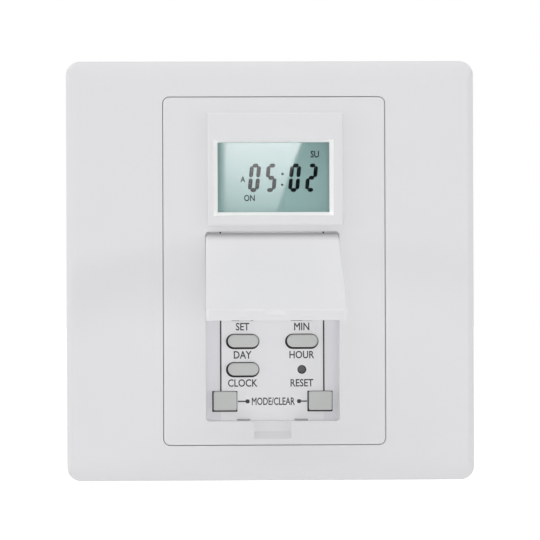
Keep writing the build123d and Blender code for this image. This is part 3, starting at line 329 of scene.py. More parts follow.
def turned(points, angle):
    """Points turned in their own plane."""
    c, s = math.cos(angle), math.sin(angle)
    return points @ np.array([[c, s, 0], [-s, c, 0], [0, 0, 1]])


def to_wall(points, x, z, rise):
    """From a drawing plane, X right, Y up and Z towards the viewer, to a place on the switch."""
    return np.stack([points[..., 0] + x, -points[..., 2] - rise, points[..., 1] + z], -1)


def joined(name, shapes):
    """One mesh of several closed ring shapes, each with its first and last ring as a pole."""
    points, faces, start = [], [], 0
    for rings in shapes:
        rows, columns = rings.shape[:2]
        body = rings[1:-1].reshape(-1, 3)
        count = len(body)
        points.append(np.concatenate([body, rings[:1, 0], rings[-1:, 0]]))
        faces.extend(ring_faces(rows - 2, columns)[:, ::-1] + start)
        j = np.arange(columns)
        after = (j + 1) % columns
        last = count - columns
        faces.extend(np.stack([j, after, 0 * j + count], 1)[:, ::-1] + start)
        faces.extend(np.stack([last + after, last + j, 0 * j + count + 1], 1)[:, ::-1] + start)
        start += count + 2
    return mesh_of(name, np.concatenate(points), faces)


def lettering(name, words, cap_height, x, z, rise, weight, squeeze=1.0, depth=INK_DEPTH):
    """Letters of the built-in font as a thin closed mesh, centred on a place of the switch.

    Each outline is widened by the weight, in shares of the font's size, and sloped to its face.
    """
    curve = bpy.data.curves.new(name, "FONT")
    curve.body = words
    curve.extrude = weight
    curve.bevel_depth = weight
    curve.bevel_resolution = 0
    curve.resolution_u = 3
    text = bpy.data.objects.new(name, curve)
    bpy.context.scene.collection.objects.link(text)
    bpy.context.view_layer.update()
    mesh = bpy.data.meshes.new_from_object(text)
    bpy.data.objects.remove(text)
    shell = bmesh.new()
    shell.from_mesh(mesh)
    bmesh.ops.remove_doubles(shell, verts=shell.verts, dist=1e-5)
    bmesh.ops.recalc_face_normals(shell, faces=shell.faces)
    shell.to_mesh(mesh)
    shell.free()
    points = np.zeros(len(mesh.vertices) * 3)
    mesh.vertices.foreach_get("co", points)
    points = points.reshape(-1, 3)
    low, high = points.min(0), points.max(0)
    scale = cap_height / (high[1] - low[1])
    lift = (points[:, 2] - low[2]) / (high[2] - low[2]) * depth
    flat = (points - (low + high) / 2) * scale
    points = to_wall(np.stack([flat[:, 0] * squeeze, flat[:, 1], lift], 1), x, z, rise)
    mesh.vertices.foreach_set("co", points.ravel())
    mesh.update()
    return mesh


# Settings


class SwitchMouldings(bpy.types.PropertyGroup):
    """Colours and surfaces of the plastic mouldings."""

    white: bpy.props.FloatVectorProperty(
        name="White plastic", description="Colour of the frame and the panel",
        subtype="COLOR", size=3, min=0, max=1, default=(0.775, 0.775, 0.79),
    )
    # Painted light: the flap is painted brighter than the plate's white, for the stronger light from above
    # on its upturned face.
    lid: bpy.props.FloatVectorProperty(
        name="Lid", description="Colour of the flap",
        subtype="COLOR", size=3, min=0, max=1, default=(0.86, 0.86, 0.875),
    )
    # Painted highlight: the mouth is painted whiter than the panel's white for the light its slopes catch.
    mouth: bpy.props.FloatVectorProperty(
        name="Mouth", description="Colour of the sloping mouth round the display",
        subtype="COLOR", size=3, min=0, max=1, default=(0.985, 0.985, 0.985),
    )
    hinge: bpy.props.FloatVectorProperty(
        name="Hinge", description="A point on the lid's hinge", subtype="TRANSLATION", size=3,
        default=(0.4 * MM, -7.85 * MM, 6.79 * MM),
    )
    # The hinge fade, free edge and hinge shade set the lid's painted shade.
    hinge_fade: bpy.props.FloatProperty(
        name="Hinge fade", description="Width over which the duller band at the hinge fades",
        unit="LENGTH", default=2.6 * MM,
    )
    edge_band: bpy.props.FloatProperty(
        name="Free edge", description="Depth of the duller free edge of the lid",
        unit="LENGTH", default=0.9 * MM,
    )
    hinge_shade: bpy.props.FloatProperty(
        name="Hinge shade", description="How much duller the lid is at its hinge",
        min=0, max=1, default=0.22,
    )
    roughness: bpy.props.FloatProperty(
        name="Roughness", description="Roughness of the white plastic", min=0, max=1, default=0.42,
    )
    case: bpy.props.FloatVectorProperty(
        name="Case", description="Colour of the case behind the plate",
        subtype="COLOR", size=3, min=0, max=1, default=(0.76, 0.76, 0.745),
    )


class SwitchKeypad(bpy.types.PropertyGroup):
    """Keypad, its print and its keys."""

    # Painted light: the printed field is painted brighter than the plate's white, to offset the shade under
    # the open flap.
    insert: bpy.props.FloatVectorProperty(
        name="Printed field", description="Colour between the two grooves",
        subtype="COLOR", size=3, min=0, max=1, default=(0.845, 0.845, 0.86),
    )
    ledge: bpy.props.FloatVectorProperty(
        name="Ledges", description="Colour outside the two grooves",
        subtype="COLOR", size=3, min=0, max=1, default=(0.775, 0.775, 0.805),
    )
    key: bpy.props.FloatVectorProperty(
        name="Keys", description="Colour of the silicone keys",
        subtype="COLOR", size=3, min=0, max=1, default=(0.575, 0.59, 0.575),
    )
    # Painted shade: the colour put on surfaces down in the gaps round the keys, and before the latch slots.
    gap: bpy.props.FloatVectorProperty(
        name="Gaps", description="Colour down in the gaps round the keys",
        subtype="COLOR", size=3, min=0, max=1, default=(0.06, 0.06, 0.06),
    )
    gap_depth: bpy.props.FloatProperty(
        name="Gap depth", description="Depth under the plate's face at which the gaps turn dark",
        unit="LENGTH", default=0.15 * MM,
    )
    # Painted shadow before each latch slot: where it lies and how high it reaches.
    latch: bpy.props.FloatVectorProperty(
        name="Latch shade", description="From the bay's middle to a latch slot, and the shade's upper edge",
        subtype="TRANSLATION", size=2, default=(6.1 * MM, -31.38 * MM),
    )
    latch_width: bpy.props.FloatProperty(
        name="Latch width", description="Width of a latch slot", unit="LENGTH", default=2.85 * MM,
    )
    ink: bpy.props.FloatVectorProperty(
        name="Ink", description="Colour of the printed words",
        subtype="COLOR", size=3, min=0, max=1, default=(0.045, 0.05, 0.055),
    )
    cap_height: bpy.props.FloatProperty(
        name="Word height", description="Height of the capitals", unit="LENGTH", default=1.62 * MM,
    )
    weight: bpy.props.FloatProperty(
        name="Word weight", description="Share of the font's size added round each letter", default=0.016,
    )
    drop: bpy.props.FloatProperty(
        name="Word drop", description="From a key's middle down to its word", unit="LENGTH",
        default=2.83 * MM,
    )


class SwitchDisplay(bpy.types.PropertyGroup):
    """Display film and figures."""

    film: bpy.props.FloatVectorProperty(
        name="Film", description="Colour of the display film",
        subtype="COLOR", size=3, min=0, max=1, default=(0.352, 0.53, 0.516),
    )
    figure: bpy.props.FloatVectorProperty(
        name="Figures", description="Colour of the dark figures",
        subtype="COLOR", size=3, min=0, max=1, default=(0.004, 0.010, 0.012),
    )
    reading: bpy.props.StringProperty(
        name="Reading", description="Four digits of the clock", default="0502",
    )
    digit_height: bpy.props.FloatProperty(
        name="Digit height", description="Height of a digit", unit="LENGTH", default=6.0 * MM,
    )
    digit_width: bpy.props.FloatProperty(
        name="Digit width", description="Width of a digit", unit="LENGTH", default=2.35 * MM,
    )
    stroke: bpy.props.FloatProperty(
        name="Stroke", description="Width of a segment", unit="LENGTH", default=0.85 * MM,
    )
    weight: bpy.props.FloatProperty(
        name="Word weight", description="Share of the font's size added round each letter", default=0.02,
    )
    slant: bpy.props.FloatProperty(
        name="Slant", description="Lean of the digits", subtype="ANGLE", default=math.radians(5.4),
    )


class SwitchCase(bpy.types.PropertyGroup):
    """Places of the numbers on the back of the case."""

    pole_distance: bpy.props.FloatProperty(
        name="Pole distance", description="Between two wire holes", unit="LENGTH", default=8.6 * MM,
    )
    recess_depth: bpy.props.FloatProperty(
        name="Recess depth", description="Depth of the shallow recess", unit="LENGTH", default=0.4 * MM,
    )
    number_drop: bpy.props.FloatProperty(
        name="Number drop", description="From the middle of the case down to the numbers",
        unit="LENGTH", default=9.0 * MM,
    )


class SwitchStage(bpy.types.PropertyGroup):
    """Camera, lamps and floor."""

    camera_place: bpy.props.FloatVectorProperty(
        name="Camera", description="Where the camera stands", subtype="TRANSLATION", size=3,
        default=(-0.0131, -0.589, 0.0),
    )
    aim: bpy.props.FloatVectorProperty(
        name="Aim", description="What the camera looks at", subtype="TRANSLATION", size=3,
        default=(0.0, -0.0045, 0.0002),
    )
    focal_length: bpy.props.FloatProperty(
        name="Focal length", description="Lens of the camera in millimetres", default=183.4,
    )
    roll: bpy.props.FloatProperty(
        name="Roll", description="Turn of the picture", subtype="ANGLE", default=math.radians(0.2),
    )
    ambient: bpy.props.FloatProperty(
        name="Ambient", description="Strength of the light from all round", default=0.468,
    )
    floor_drop: bpy.props.FloatProperty(
        name="Floor drop", description="From the plate's lower edge down to the floor", unit="LENGTH",
        default=50 * MM,
    )


# Operators


class SWITCH_OT_mouldings(bpy.types.Operator):
    """Finishes the front frame, the centre panel and the flap."""

    bl_idname = "switch.mouldings"
    bl_label = "Mouldings"

    def execute(self, context):
        look = context.scene.switch_mouldings
        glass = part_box("lcd_front_glass")
        centre = middle("lcd_front_glass")
        half = (glass[1] - glass[0]) / 2
        margin = 0.3 * MM
        skin = 0.02 * MM

        def mouth_painted_highlight(shader, tone):
            """The sloping mouth round the display is painted whiter than the rest of the panel, a painted
            highlight for the light its slopes catch.
            """
            x, y, z = shader.axes()
            mouth = (abs(x - centre.x) < half.x - margin) * (abs(z - centre.z) < half.z - margin)
            return shader.mix(mouth * (y > skin - BEZEL_RISE), tone, rgba(look.mouth))

        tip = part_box("flap")[0]
        length = math.hypot(tip.y - look.hinge[1], tip.z - look.hinge[2])
        barrel = 1.2 * MM
        edge_shade = 0.05

        def wear_and_painted_shade(shader, tone):
            """Painted shade on the lid: darker close to its hinge, where the panel shades it, and darker on
            its free edge.
            """
            _, y, z = shader.axes()
            reach = ((y - look.hinge[1]) ** 2 + (z - look.hinge[2]) ** 2) ** 0.5
            hinge_painted_shade = (1 - (reach - barrel) / look.hinge_fade).clipped()
            edge = reach > length - look.edge_band
            return shader.tint(tone, 1 - hinge_painted_shade * look.hinge_shade - edge * edge_shade)

        dress(moulded("frame_moulding", look.white, look.roughness, Specular_IOR_Level=0.4), "front_frame")
        panel = moulded(
            "panel_moulding", look.white, look.roughness, shade=mouth_painted_highlight, Specular_IOR_Level=0.4,
        )
        dress(panel, "center_panel")
        dress(moulded("lid_moulding", look.lid, look.roughness, mottle=0.008, shade=wear_and_painted_shade), "flap")
        return {"FINISHED"}


class SWITCH_OT_keypad(bpy.types.Operator):
    """Finishes the keypad plate, the keys, the mat, the pads and the reset switch."""

    bl_idname = "switch.keypad"
    bl_label = "Keypad"

    key_nodes = ("key_set", "key_minute", "key_week", "key_hour", "key_clock", "key_mode", "key_clear")
    # A groove's place as a share of a square key's, and the painted light on the lowest part of the plate,
    # against the shade of the bay's lower wall
    groove_share = 1.084
    low_painted_light_height = 6 * MM
    low_painted_light_share = 0.09
    slot_painted_shade_share = 0.5

    def execute(self, context):
        look = context.scene.switch_keypad
        groove = abs(middle("key_mode").x - BAY_X) * self.groove_share
        lower_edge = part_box("keypad_plate")[0].z

        def field(shader, tone):
            """The plate's tones from its printed field inwards.

            The ledges past the grooves have their own colour, the lowest part gets painted light against
            the shade of the bay's lower wall, the edge before each latch slot a painted shadow, and the
            gaps round the keys painted shade.
            """
            x, y, z = shader.axes()
            low = (1 - (z - lower_edge) / self.low_painted_light_height).larger(0.0)
            tone = shader.mix(abs(x - BAY_X) > groove, tone, rgba(look.ledge))
            tone = shader.tint(tone, 1 + low * self.low_painted_light_share)
            beside = abs(abs(x - BAY_X) - look.latch[0])
            # Painted shadow: a dark strip on the plate's edge before each latch slot.
            slot = (beside < look.latch_width / 2) * (z < look.latch[1])
            tone = shader.mix(slot * self.slot_painted_shade_share, tone, rgba(look.gap))
            # Painted shade on the surfaces down in the gaps round the keys.
            return shader.mix(y > look.gap_depth - FLOOR_RISE, tone, rgba(look.gap))

        def sunk_painted_shade(shader, tone):
            """The part of a key below the plate's face, painted dark as shade down in its hole."""
            return shader.mix(shader.axes()[1] > look.gap_depth - FLOOR_RISE, tone, rgba(look.gap))

        plate = moulded("keypad_moulding", look.insert, 0.55, grain=0.4, shade=field)
        dress(plate, "keypad_plate")
        silicone = moulded(
            "key_silicone", look.key, 0.62, mottle=0.02, peel=0.006 * MM, grain=0.6, shade=sunk_painted_shade,
        )
        dress(silicone, *self.key_nodes)
        dress(moulded("mat_silicone", (0.52, 0.53, 0.52), 0.65, mottle=0.02), "keypad_mat")
        dress(metal("gold_pads", (0.85, 0.62, 0.28), 0.28), "contact_pads")
        dress(moulded("switch_body", (0.03, 0.03, 0.033), 0.5, mottle=0.05), "reset_switch")
        dress(moulded("plunger_plastic", (0.16, 0.16, 0.17), 0.5, mottle=0.04), "reset_plunger")
        return {"FINISHED"}


class SWITCH_OT_labels(bpy.types.Operator):
    """Prints a word under each key, and the marks between the two square keys."""

    bl_idname = "switch.labels"
    bl_label = "Printed labels"

    words = {
        "key_set": "SET", "key_minute": "MIN", "key_week": "DAY",
        "key_hour": "HOUR", "key_clock": "CLOCK", "reset_plunger": "RESET",
    }
    # Squeezes are widths as shares of the font's own. An outline of power 3 is a square with
    # rounded corners, and one of power 20 a plain bar.
    word_squeeze = 0.84
    mode_squeeze = 0.68
    mode_shift = 0.2 * MM
    dot_reach = 5.46 * MM
    dot_size = 0.85 * MM
    dot_power = 3
    line_width = 0.28 * MM
    line_power = 20
    hidden_flange = 0.45 * MM

    def execute(self, context):
        look = context.scene.switch_keypad
        ink = self.ink(look.ink)
        for node, word in self.words.items():
            spot = middle(node)
            mesh = lettering(
                "label_" + word.lower(), word, look.cap_height,
                spot.x, spot.z - look.drop, FLOOR_RISE, look.weight, self.word_squeeze,
            )
            self.print_on(mesh, ink)
        left, right = middle("key_mode"), middle("key_clear")
        row = (left.z + right.z) / 2
        centre = (left.x + right.x) / 2 + self.mode_shift
        mesh = lettering(
            "label_mode", "MODE/CLEAR", look.cap_height,
            centre, row, FLOOR_RISE, look.weight, self.mode_squeeze,
        )
        self.print_on(mesh, ink)
        shapes = []
        for side, key in ((-1, "key_mode"), (1, "key_clear")):
            low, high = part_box(key)
            edge = high.x - self.hidden_flange if side < 0 else low.x + self.hidden_flange
            dot = centre + side * self.dot_reach
            square = bar_points(self.dot_size, self.dot_size, self.dot_power, INK_DEPTH, self.dot_power)
            shapes.append(to_wall(square, dot, row, FLOOR_RISE))
            line = bar_points(
                abs(edge - dot), self.line_width, self.line_power, INK_DEPTH, self.line_power,
            )
            shapes.append(to_wall(line, (edge + dot) / 2, row, FLOOR_RISE))
        self.print_on(joined("lead_marks", shapes), ink)
        return {"FINISHED"}

    @staticmethod
    def print_on(mesh, ink):
        """Adds a mark to the keypad plate, which is part of the body."""
        add_piece(mesh.name, mesh, ink, "body")

    @staticmethod
    def ink(colour):
        """Pad-printing ink, a little uneven."""

        def paint(look):
            wear_and_painted_shade = look.noise(0.25 * MM, 3.0)
            return {"Base Color": look.tint(rgba(colour), 0.8 + wear_and_painted_shade * 0.5), "Roughness": 0.5 + wear_and_painted_shade * 0.2}

        return finish_of("pad_printing_ink", paint)


class SWITCH_OT_display(bpy.types.Operator):
    """Finishes the display stack and sets the clock's figures behind the pane."""

    bl_idname = "switch.display"
    bl_label = "Display"

    # Segments lit for each digit: top, upper left, upper right, middle, lower left, lower right, bottom
    lit = {
        "0": "1110111", "1": "0010010", "2": "1011101", "3": "1011011", "4": "0111010",
        "5": "1101011", "6": "1101111", "7": "1010010", "8": "1111111", "9": "1111011",
    }
    # Places of the digits across, and of the colon's dots across and up, in millimetres
    digit_places = (-3.31, 0.23, 5.19, 8.74)
    dot_places = ((2.64, 0.81), (2.56, -1.49))
    dot_size = 0.52 * MM
    # Lengths of the segments as shares of their spans, and the powers of their outlines
    tall_share = 0.90
    tall_power = 6
    wide_share = 0.80
    wide_power = 2.6
    # Name, words, height in millimetres, place to the right and up from the figures' middle
    words = (
        ("display_day", "SU", 1.45, 9.45, 4.97),
        ("display_auto", "A", 1.28, -5.75, -0.3),
        ("display_state", "ON", 1.34, -4.38, -4.26),
    )
    word_squeeze = 0.82
    shine = {"Coat_Roughness": 0.02, "Coat_IOR": 2.3}
    # Painted light: the glass brightens from its middle up to this height, against the shade of the
    # recess's top wall
    rim_height = 7.3 * MM
    rim_power = 6.0
    rim_painted_light = 0.45

    def digit(self, figure, look, x, z):
        """The lit segments of one digit, leaning to the right."""
        half_w = (look.digit_width - look.stroke) / 2
        half_h = (look.digit_height - look.stroke) / 2
        tall = (half_h * self.tall_share, look.stroke, self.tall_power)
        wide = (2 * half_w * self.wide_share, look.stroke, self.wide_power)
        spots = (
            (0, half_h, wide, 0), (-half_w, half_h / 2, tall, 1), (half_w, half_h / 2, tall, 1),
            (0, 0, wide, 0), (-half_w, -half_h / 2, tall, 1), (half_w, -half_h / 2, tall, 1),
            (0, -half_h, wide, 0),
        )
        shapes = []
        for (sx, sy, (length, width, power), upright), on in zip(spots, self.lit[figure]):
            if on == "1":
                bar = turned(bar_points(length, width, power, INK_DEPTH), upright * math.pi / 2)
                bar[..., 0] += sx
                bar[..., 1] += sy
                bar[..., 0] += bar[..., 1] * math.tan(look.slant)
                shapes.append(to_wall(bar, x, z, GLASS_RISE))
        return shapes

    def execute(self, context):
        look = context.scene.switch_display
        self.finish_stack(look)
        figure = self.figure("display_figures", look.figure, 0.4)
        word = self.figure("display_words", look.figure, 0.12)
        for index, (digit, x) in enumerate(zip(look.reading, self.digit_places)):
            shapes = self.digit(digit, look, x * MM, FIGURE_Z)
            mesh = joined(f"display_digit_{index + 1}", shapes)
            add_piece(mesh.name, mesh, figure, "body")
        dot = bar_points(self.dot_size, self.dot_size, 2, INK_DEPTH)
        dots = [to_wall(dot, x * MM, FIGURE_Z + dz * MM, GLASS_RISE) for x, dz in self.dot_places]
        mesh = joined("display_colon", dots)
        add_piece(mesh.name, mesh, figure, "body")
        for name, words, height, x, dz in self.words:
            mesh = lettering(
                name, words, height * MM,
                x * MM, FIGURE_Z + dz * MM, GLASS_RISE, look.weight, self.word_squeeze,
            )
            add_piece(mesh.name, mesh, word, "body")
        return {"FINISHED"}

    def figure(self, name, colour, coat):
        """The dark figures, which shine as much as this coat."""

        def paint(look):
            dust = look.noise(0.3 * MM, 2.0)
            return {"Base Color": look.tint(rgba(colour), 0.7 + dust * 0.6), "Roughness": 0.5 + dust * 0.1}

        return finish_of(name, paint, Specular_IOR_Level=0.1, Coat_Weight=coat, **self.shine)

    def finish_stack(self, look):
        """Finishes the pane, the two glasses, the reflector, the tray, the gasket and the strips."""

        def film(shader):
            """The green film, with painted light close under the upper edge against the shade of the
            recess.
            """
            cloud = shader.noise(4 * MM, 2.0)
            fine = shader.noise(0.08 * MM, 2.0)
            top_painted_light = ((shader.axes()[2] - GLASS_Z) / self.rim_height).larger(0.0) ** self.rim_power
            tone = shader.tint(rgba(look.film), 0.97 + cloud * 0.06 + top_painted_light * self.rim_painted_light)
            return {"Base Color": tone, "Normal": shader.bump(fine, 0.0004 * MM)}

        glass = finish_of("display_film", film, Roughness=0.5, Coat_Weight=1.0, **self.shine)
        dress(glass, "lcd_front_glass")

        def clear(shader):
            """The pane, faintly smeared."""
            smear = shader.noise(5 * MM, 2.0)
            return {"Roughness": smear * 0.02, "Normal": shader.bump(smear, 0.001 * MM)}

        pane = finish_of(
            "clear_pane", clear, Base_Color=(0.98, 1.0, 1.0, 1.0), IOR=1.3, Transmission_Weight=1.0,
        )
        dress(pane, "display_lens")
        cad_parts["display_lens"].visible_shadow = False

        def rear(shader):
            """The rear glass, a little cloudy."""
            cloud = shader.noise(3 * MM)
            return {"Base Color": shader.tint((0.5, 0.62, 0.6), 0.95 + cloud * 0.1)}

        dress(finish_of("rear_glass", rear, Roughness=0.08, Transmission_Weight=0.6), "lcd_rear_glass")

        def pearl(shader):
            """The reflector, with fine pearly flakes."""
            flake = shader.cells(0.15 * MM, output="Color")
            tone = shader.mix(0.12, (0.62, 0.70, 0.68, 1.0), flake)
            return {"Base Color": tone, "Roughness": 0.3 + shader.noise(1 * MM) * 0.1}

        dress(finish_of("pearl_film", pearl, Metallic=0.4), "lcd_reflector")
        dress(moulded("holder_moulding", (0.72, 0.72, 0.72), 0.5), "lcd_holder")

        def foam(shader):
            """The gasket, with open pores."""
            pores = shader.cells(0.22 * MM)
            tone = shader.tint((0.72, 0.72, 0.71, 1.0), 0.8 + pores * 0.4)
            normal = shader.bump(pores, 0.05 * MM)
            return {"Base Color": tone, "Roughness": 0.8 + pores * 0.2, "Normal": normal}

        dress(finish_of("foam_gasket", foam), "display_gasket")

        def stripes(shader):
            """The strips' conducting layers, one every 0.2 mm along X."""
            x = shader.axes()[0]
            line = x.waved(0.2 * MM) > 0.5
            return {"Base Color": shader.mix(line, (0.6, 0.45, 0.5, 1.0), (0.03, 0.03, 0.03, 1.0))}

        dress(finish_of("striped_rubber", stripes, Roughness=0.6), "contact_strips")


class SWITCH_OT_boards(bpy.types.Operator):
    """Finishes the two boards and everything that they carry."""

    bl_idname = "switch.boards"
    bl_label = "Boards"

    def execute(self, context):
        dress(self.board("green_board", (0.03, 0.22, 0.08), (0.06, 0.34, 0.13), 0.3), "control_board")
        dress(self.board("paper_board", (0.42, 0.27, 0.11), (0.55, 0.36, 0.16), 0.55), "power_board")
        dress(moulded("black_compound", (0.02, 0.02, 0.022), 0.45, mottle=0.06, grain=0.7), "control_chip")
        dress(moulded("socket_plastic", (0.022, 0.022, 0.024), 0.5, mottle=0.05), "header_socket")
        dress(metal("tin_can", (0.74, 0.74, 0.73), 0.25, (1, 1, 12)), "quartz_crystal")
        dress(metal("nickel_cell", (0.70, 0.69, 0.66), 0.3, (8, 1, 1)), "backup_cell")
        dress(metal("spring_strip", (0.72, 0.70, 0.64), 0.3, (10, 1, 1)), "cell_clip")
        self.legged("header_plastic", (0.02, 0.02, 0.022), "pin_header", 2.5 * MM)
        self.legged("relay_cover", (0.03, 0.10, 0.36), "relay", 15 * MM)
        self.legged("film_box", (0.78, 0.52, 0.05), "dropper_capacitor", 14.5 * MM)
        self.legged("disc_coating", (0.03, 0.12, 0.40), "varistor", 10.2 * MM, ripple=0.05 * MM)
        self.legged("fuse_cap", (0.11, 0.045, 0.03), "fuse", 7.7 * MM)
        self.legged("transistor_body", (0.02, 0.02, 0.022), "driver_transistor", 4.8 * MM)
        self.can()
        ring = ((0.5, (0.7, 0.7, 0.7)),)
        self.banded("diode_body", (0.015, 0.015, 0.017), "rectifier_diodes", 2, 2.5 * MM, ring)
        rings = (
            (-0.55, (0.30, 0.11, 0.03)), (-0.2, (0.01, 0.01, 0.01)),
            (0.15, (0.55, 0.30, 0.02)), (0.6, (0.6, 0.42, 0.12)),
        )
        self.banded("resistor_coating", (0.30, 0.42, 0.48), "power_resistor", 0, 5.5 * MM, rings)
        return {"FINISHED"}

    @staticmethod
    def board(name, mask, track, roughness):
        """Solder mask over copper: tracks are the walls between large cells, with round pads."""

        def paint(look):
            walls = look.cells(3.4 * MM, "DISTANCE_TO_EDGE")
            pads = look.cells(2.54 * MM)
            copper = (walls < 0.1).larger(pads < 0.16)
            weave = look.noise(0.3 * MM, 3.0)
            tone = look.mix(copper, rgba(mask), rgba(track))
            return {
                "Base Color": look.tint(tone, 0.9 + weave * 0.2),
                "Roughness": roughness + weave * 0.15,
                "Normal": look.bump(copper + weave * 0.2, 0.03 * MM),
            }

        return finish_of(name, paint)

    @staticmethod
    def legged(name, colour, node, body_depth, ripple=0.004 * MM):
        """A component: its body in one colour, and tinned legs behind the body."""
        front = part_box(node)[0].y

        def paint(look):
            y = look.axes()[1]
            leg = y > front + body_depth
            cloud = look.noise(4 * MM, 3.0)
            fine = look.noise(0.2 * MM, 2.0)
            tone = look.tint(rgba(colour), 0.92 + cloud * 0.12 + fine * 0.04)
            return {
                "Base Color": look.mix(leg, tone, TINNED),
                "Metallic": leg,
                "Roughness": 0.42 + fine * 0.1 - leg * 0.12,
                "Normal": look.bump(cloud, ripple),
            }

        dress(finish_of(name, paint), node)

    @staticmethod
    def can():
        """An electrolytic can: dark sleeve with one pale stripe, bare scored top, tinned legs."""
        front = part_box("smoothing_capacitor")[0].y
        centre = middle("smoothing_capacitor")
        top_radius = 4.2 * MM
        top_depth = 0.2 * MM
        can_length = 12.5 * MM
        score_half = 0.25 * MM
        stripe_start = 2.8 * MM

        def paint(look):
            x, y, z = look.axes()
            across, along = x - centre.x, z - centre.z
            radius = (across ** 2 + along ** 2) ** 0.5
            top = (y < front + top_depth) * (radius < top_radius)
            leg = y > front + can_length
            bare = top.larger(leg)
            score = (abs(across).smaller(abs(along)) < score_half) * top
            stripe = (along > stripe_start) * (1 - bare)
            sleeve = look.mix(stripe, (0.015, 0.02, 0.05, 1.0), (0.5, 0.52, 0.55, 1.0))
            return {
                "Base Color": look.mix(bare, sleeve, (0.7, 0.7, 0.71, 1.0)),
                "Metallic": bare,
                "Roughness": 0.3 + look.noise(1 * MM) * 0.1,
                "Normal": look.bump(1 - score, 0.15 * MM),
            }

        dress(finish_of("capacitor_can", paint), "smoothing_capacitor")

    @staticmethod
    def banded(name, colour, node, axis, half_body, bands):
        """A lying component: coloured bands along its body, and tinned legs past its ends.

        A band's place is a share of half the body's length, counted from its middle.
        """
        centre = middle(node)[axis]
        half_band = 0.08

        def paint(look):
            along = look.axes()[axis] - centre
            share = along / half_body
            fine = look.noise(0.3 * MM, 2.0)
            tone = look.tint(rgba(colour), 0.9 + fine * 0.2)
            for place, band in bands:
                on_band = (share > place - half_band) * (share < place + half_band)
                tone = look.mix(on_band, tone, rgba(band))
            leg = abs(along) > half_body
            return {
                "Base Color": look.mix(leg, tone, TINNED),
                "Metallic": leg,
                "Roughness": 0.4 + fine * 0.1,
                "Normal": look.bump(fine, 0.01 * MM),
            }

        dress(finish_of(name, paint), node)


class SWITCH_OT_case(bpy.types.Operator):
    """Finishes the yoke, the rear case, the terminals and the screws, and numbers the terminals."""

    bl_idname = "switch.case"
    bl_label = "Case and terminals"

    number_height = 2.6 * MM
    number_weight = 0.02
    relief_share = 0.75

    def execute(self, context):
        look = context.scene.switch_mouldings
        dress(metal("zinc_plate", (0.60, 0.61, 0.62), 0.38, spangle=0.14), "yoke_plate")
        case = moulded("case_moulding", look.case, 0.6, mottle=0.015, peel=0.01 * MM, grain=0.7)
        dress(case, "rear_case")
        dress(moulded("terminal_moulding", (0.60, 0.61, 0.60), 0.55, grain=0.5), "terminal_block")
        dress(metal("brass_clamps", (0.80, 0.58, 0.26), 0.3, (1, 6, 1)), "terminal_clamps")
        zinc = metal("zinc_screws", (0.66, 0.66, 0.64), 0.32)
        dress(zinc, "board_screws", "case_screws", "terminal_screws")
        self.numbers(context.scene.switch_case, case)
        return {"FINISHED"}

    def numbers(self, look, case):
        """Raised plain numbers in the shallow recess of the back, one above each wire hole."""
        spot = middle("rear_case")
        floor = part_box("rear_case")[1].y - look.recess_depth
        relief = look.recess_depth * self.relief_share
        for index in range(3):
            name = f"terminal_number_{index + 1}"
            mesh = lettering(
                name, str(index + 1), self.number_height, 0, 0, 0, self.number_weight, depth=relief,
            )
            turn = Matrix.Rotation(math.pi, 4, "Z")
            place = Vector((spot.x + (1 - index) * look.pole_distance, floor, spot.z - look.number_drop))
            mesh.transform(Matrix.Translation(place) @ turn)
            add_piece(name, mesh, case, "body")


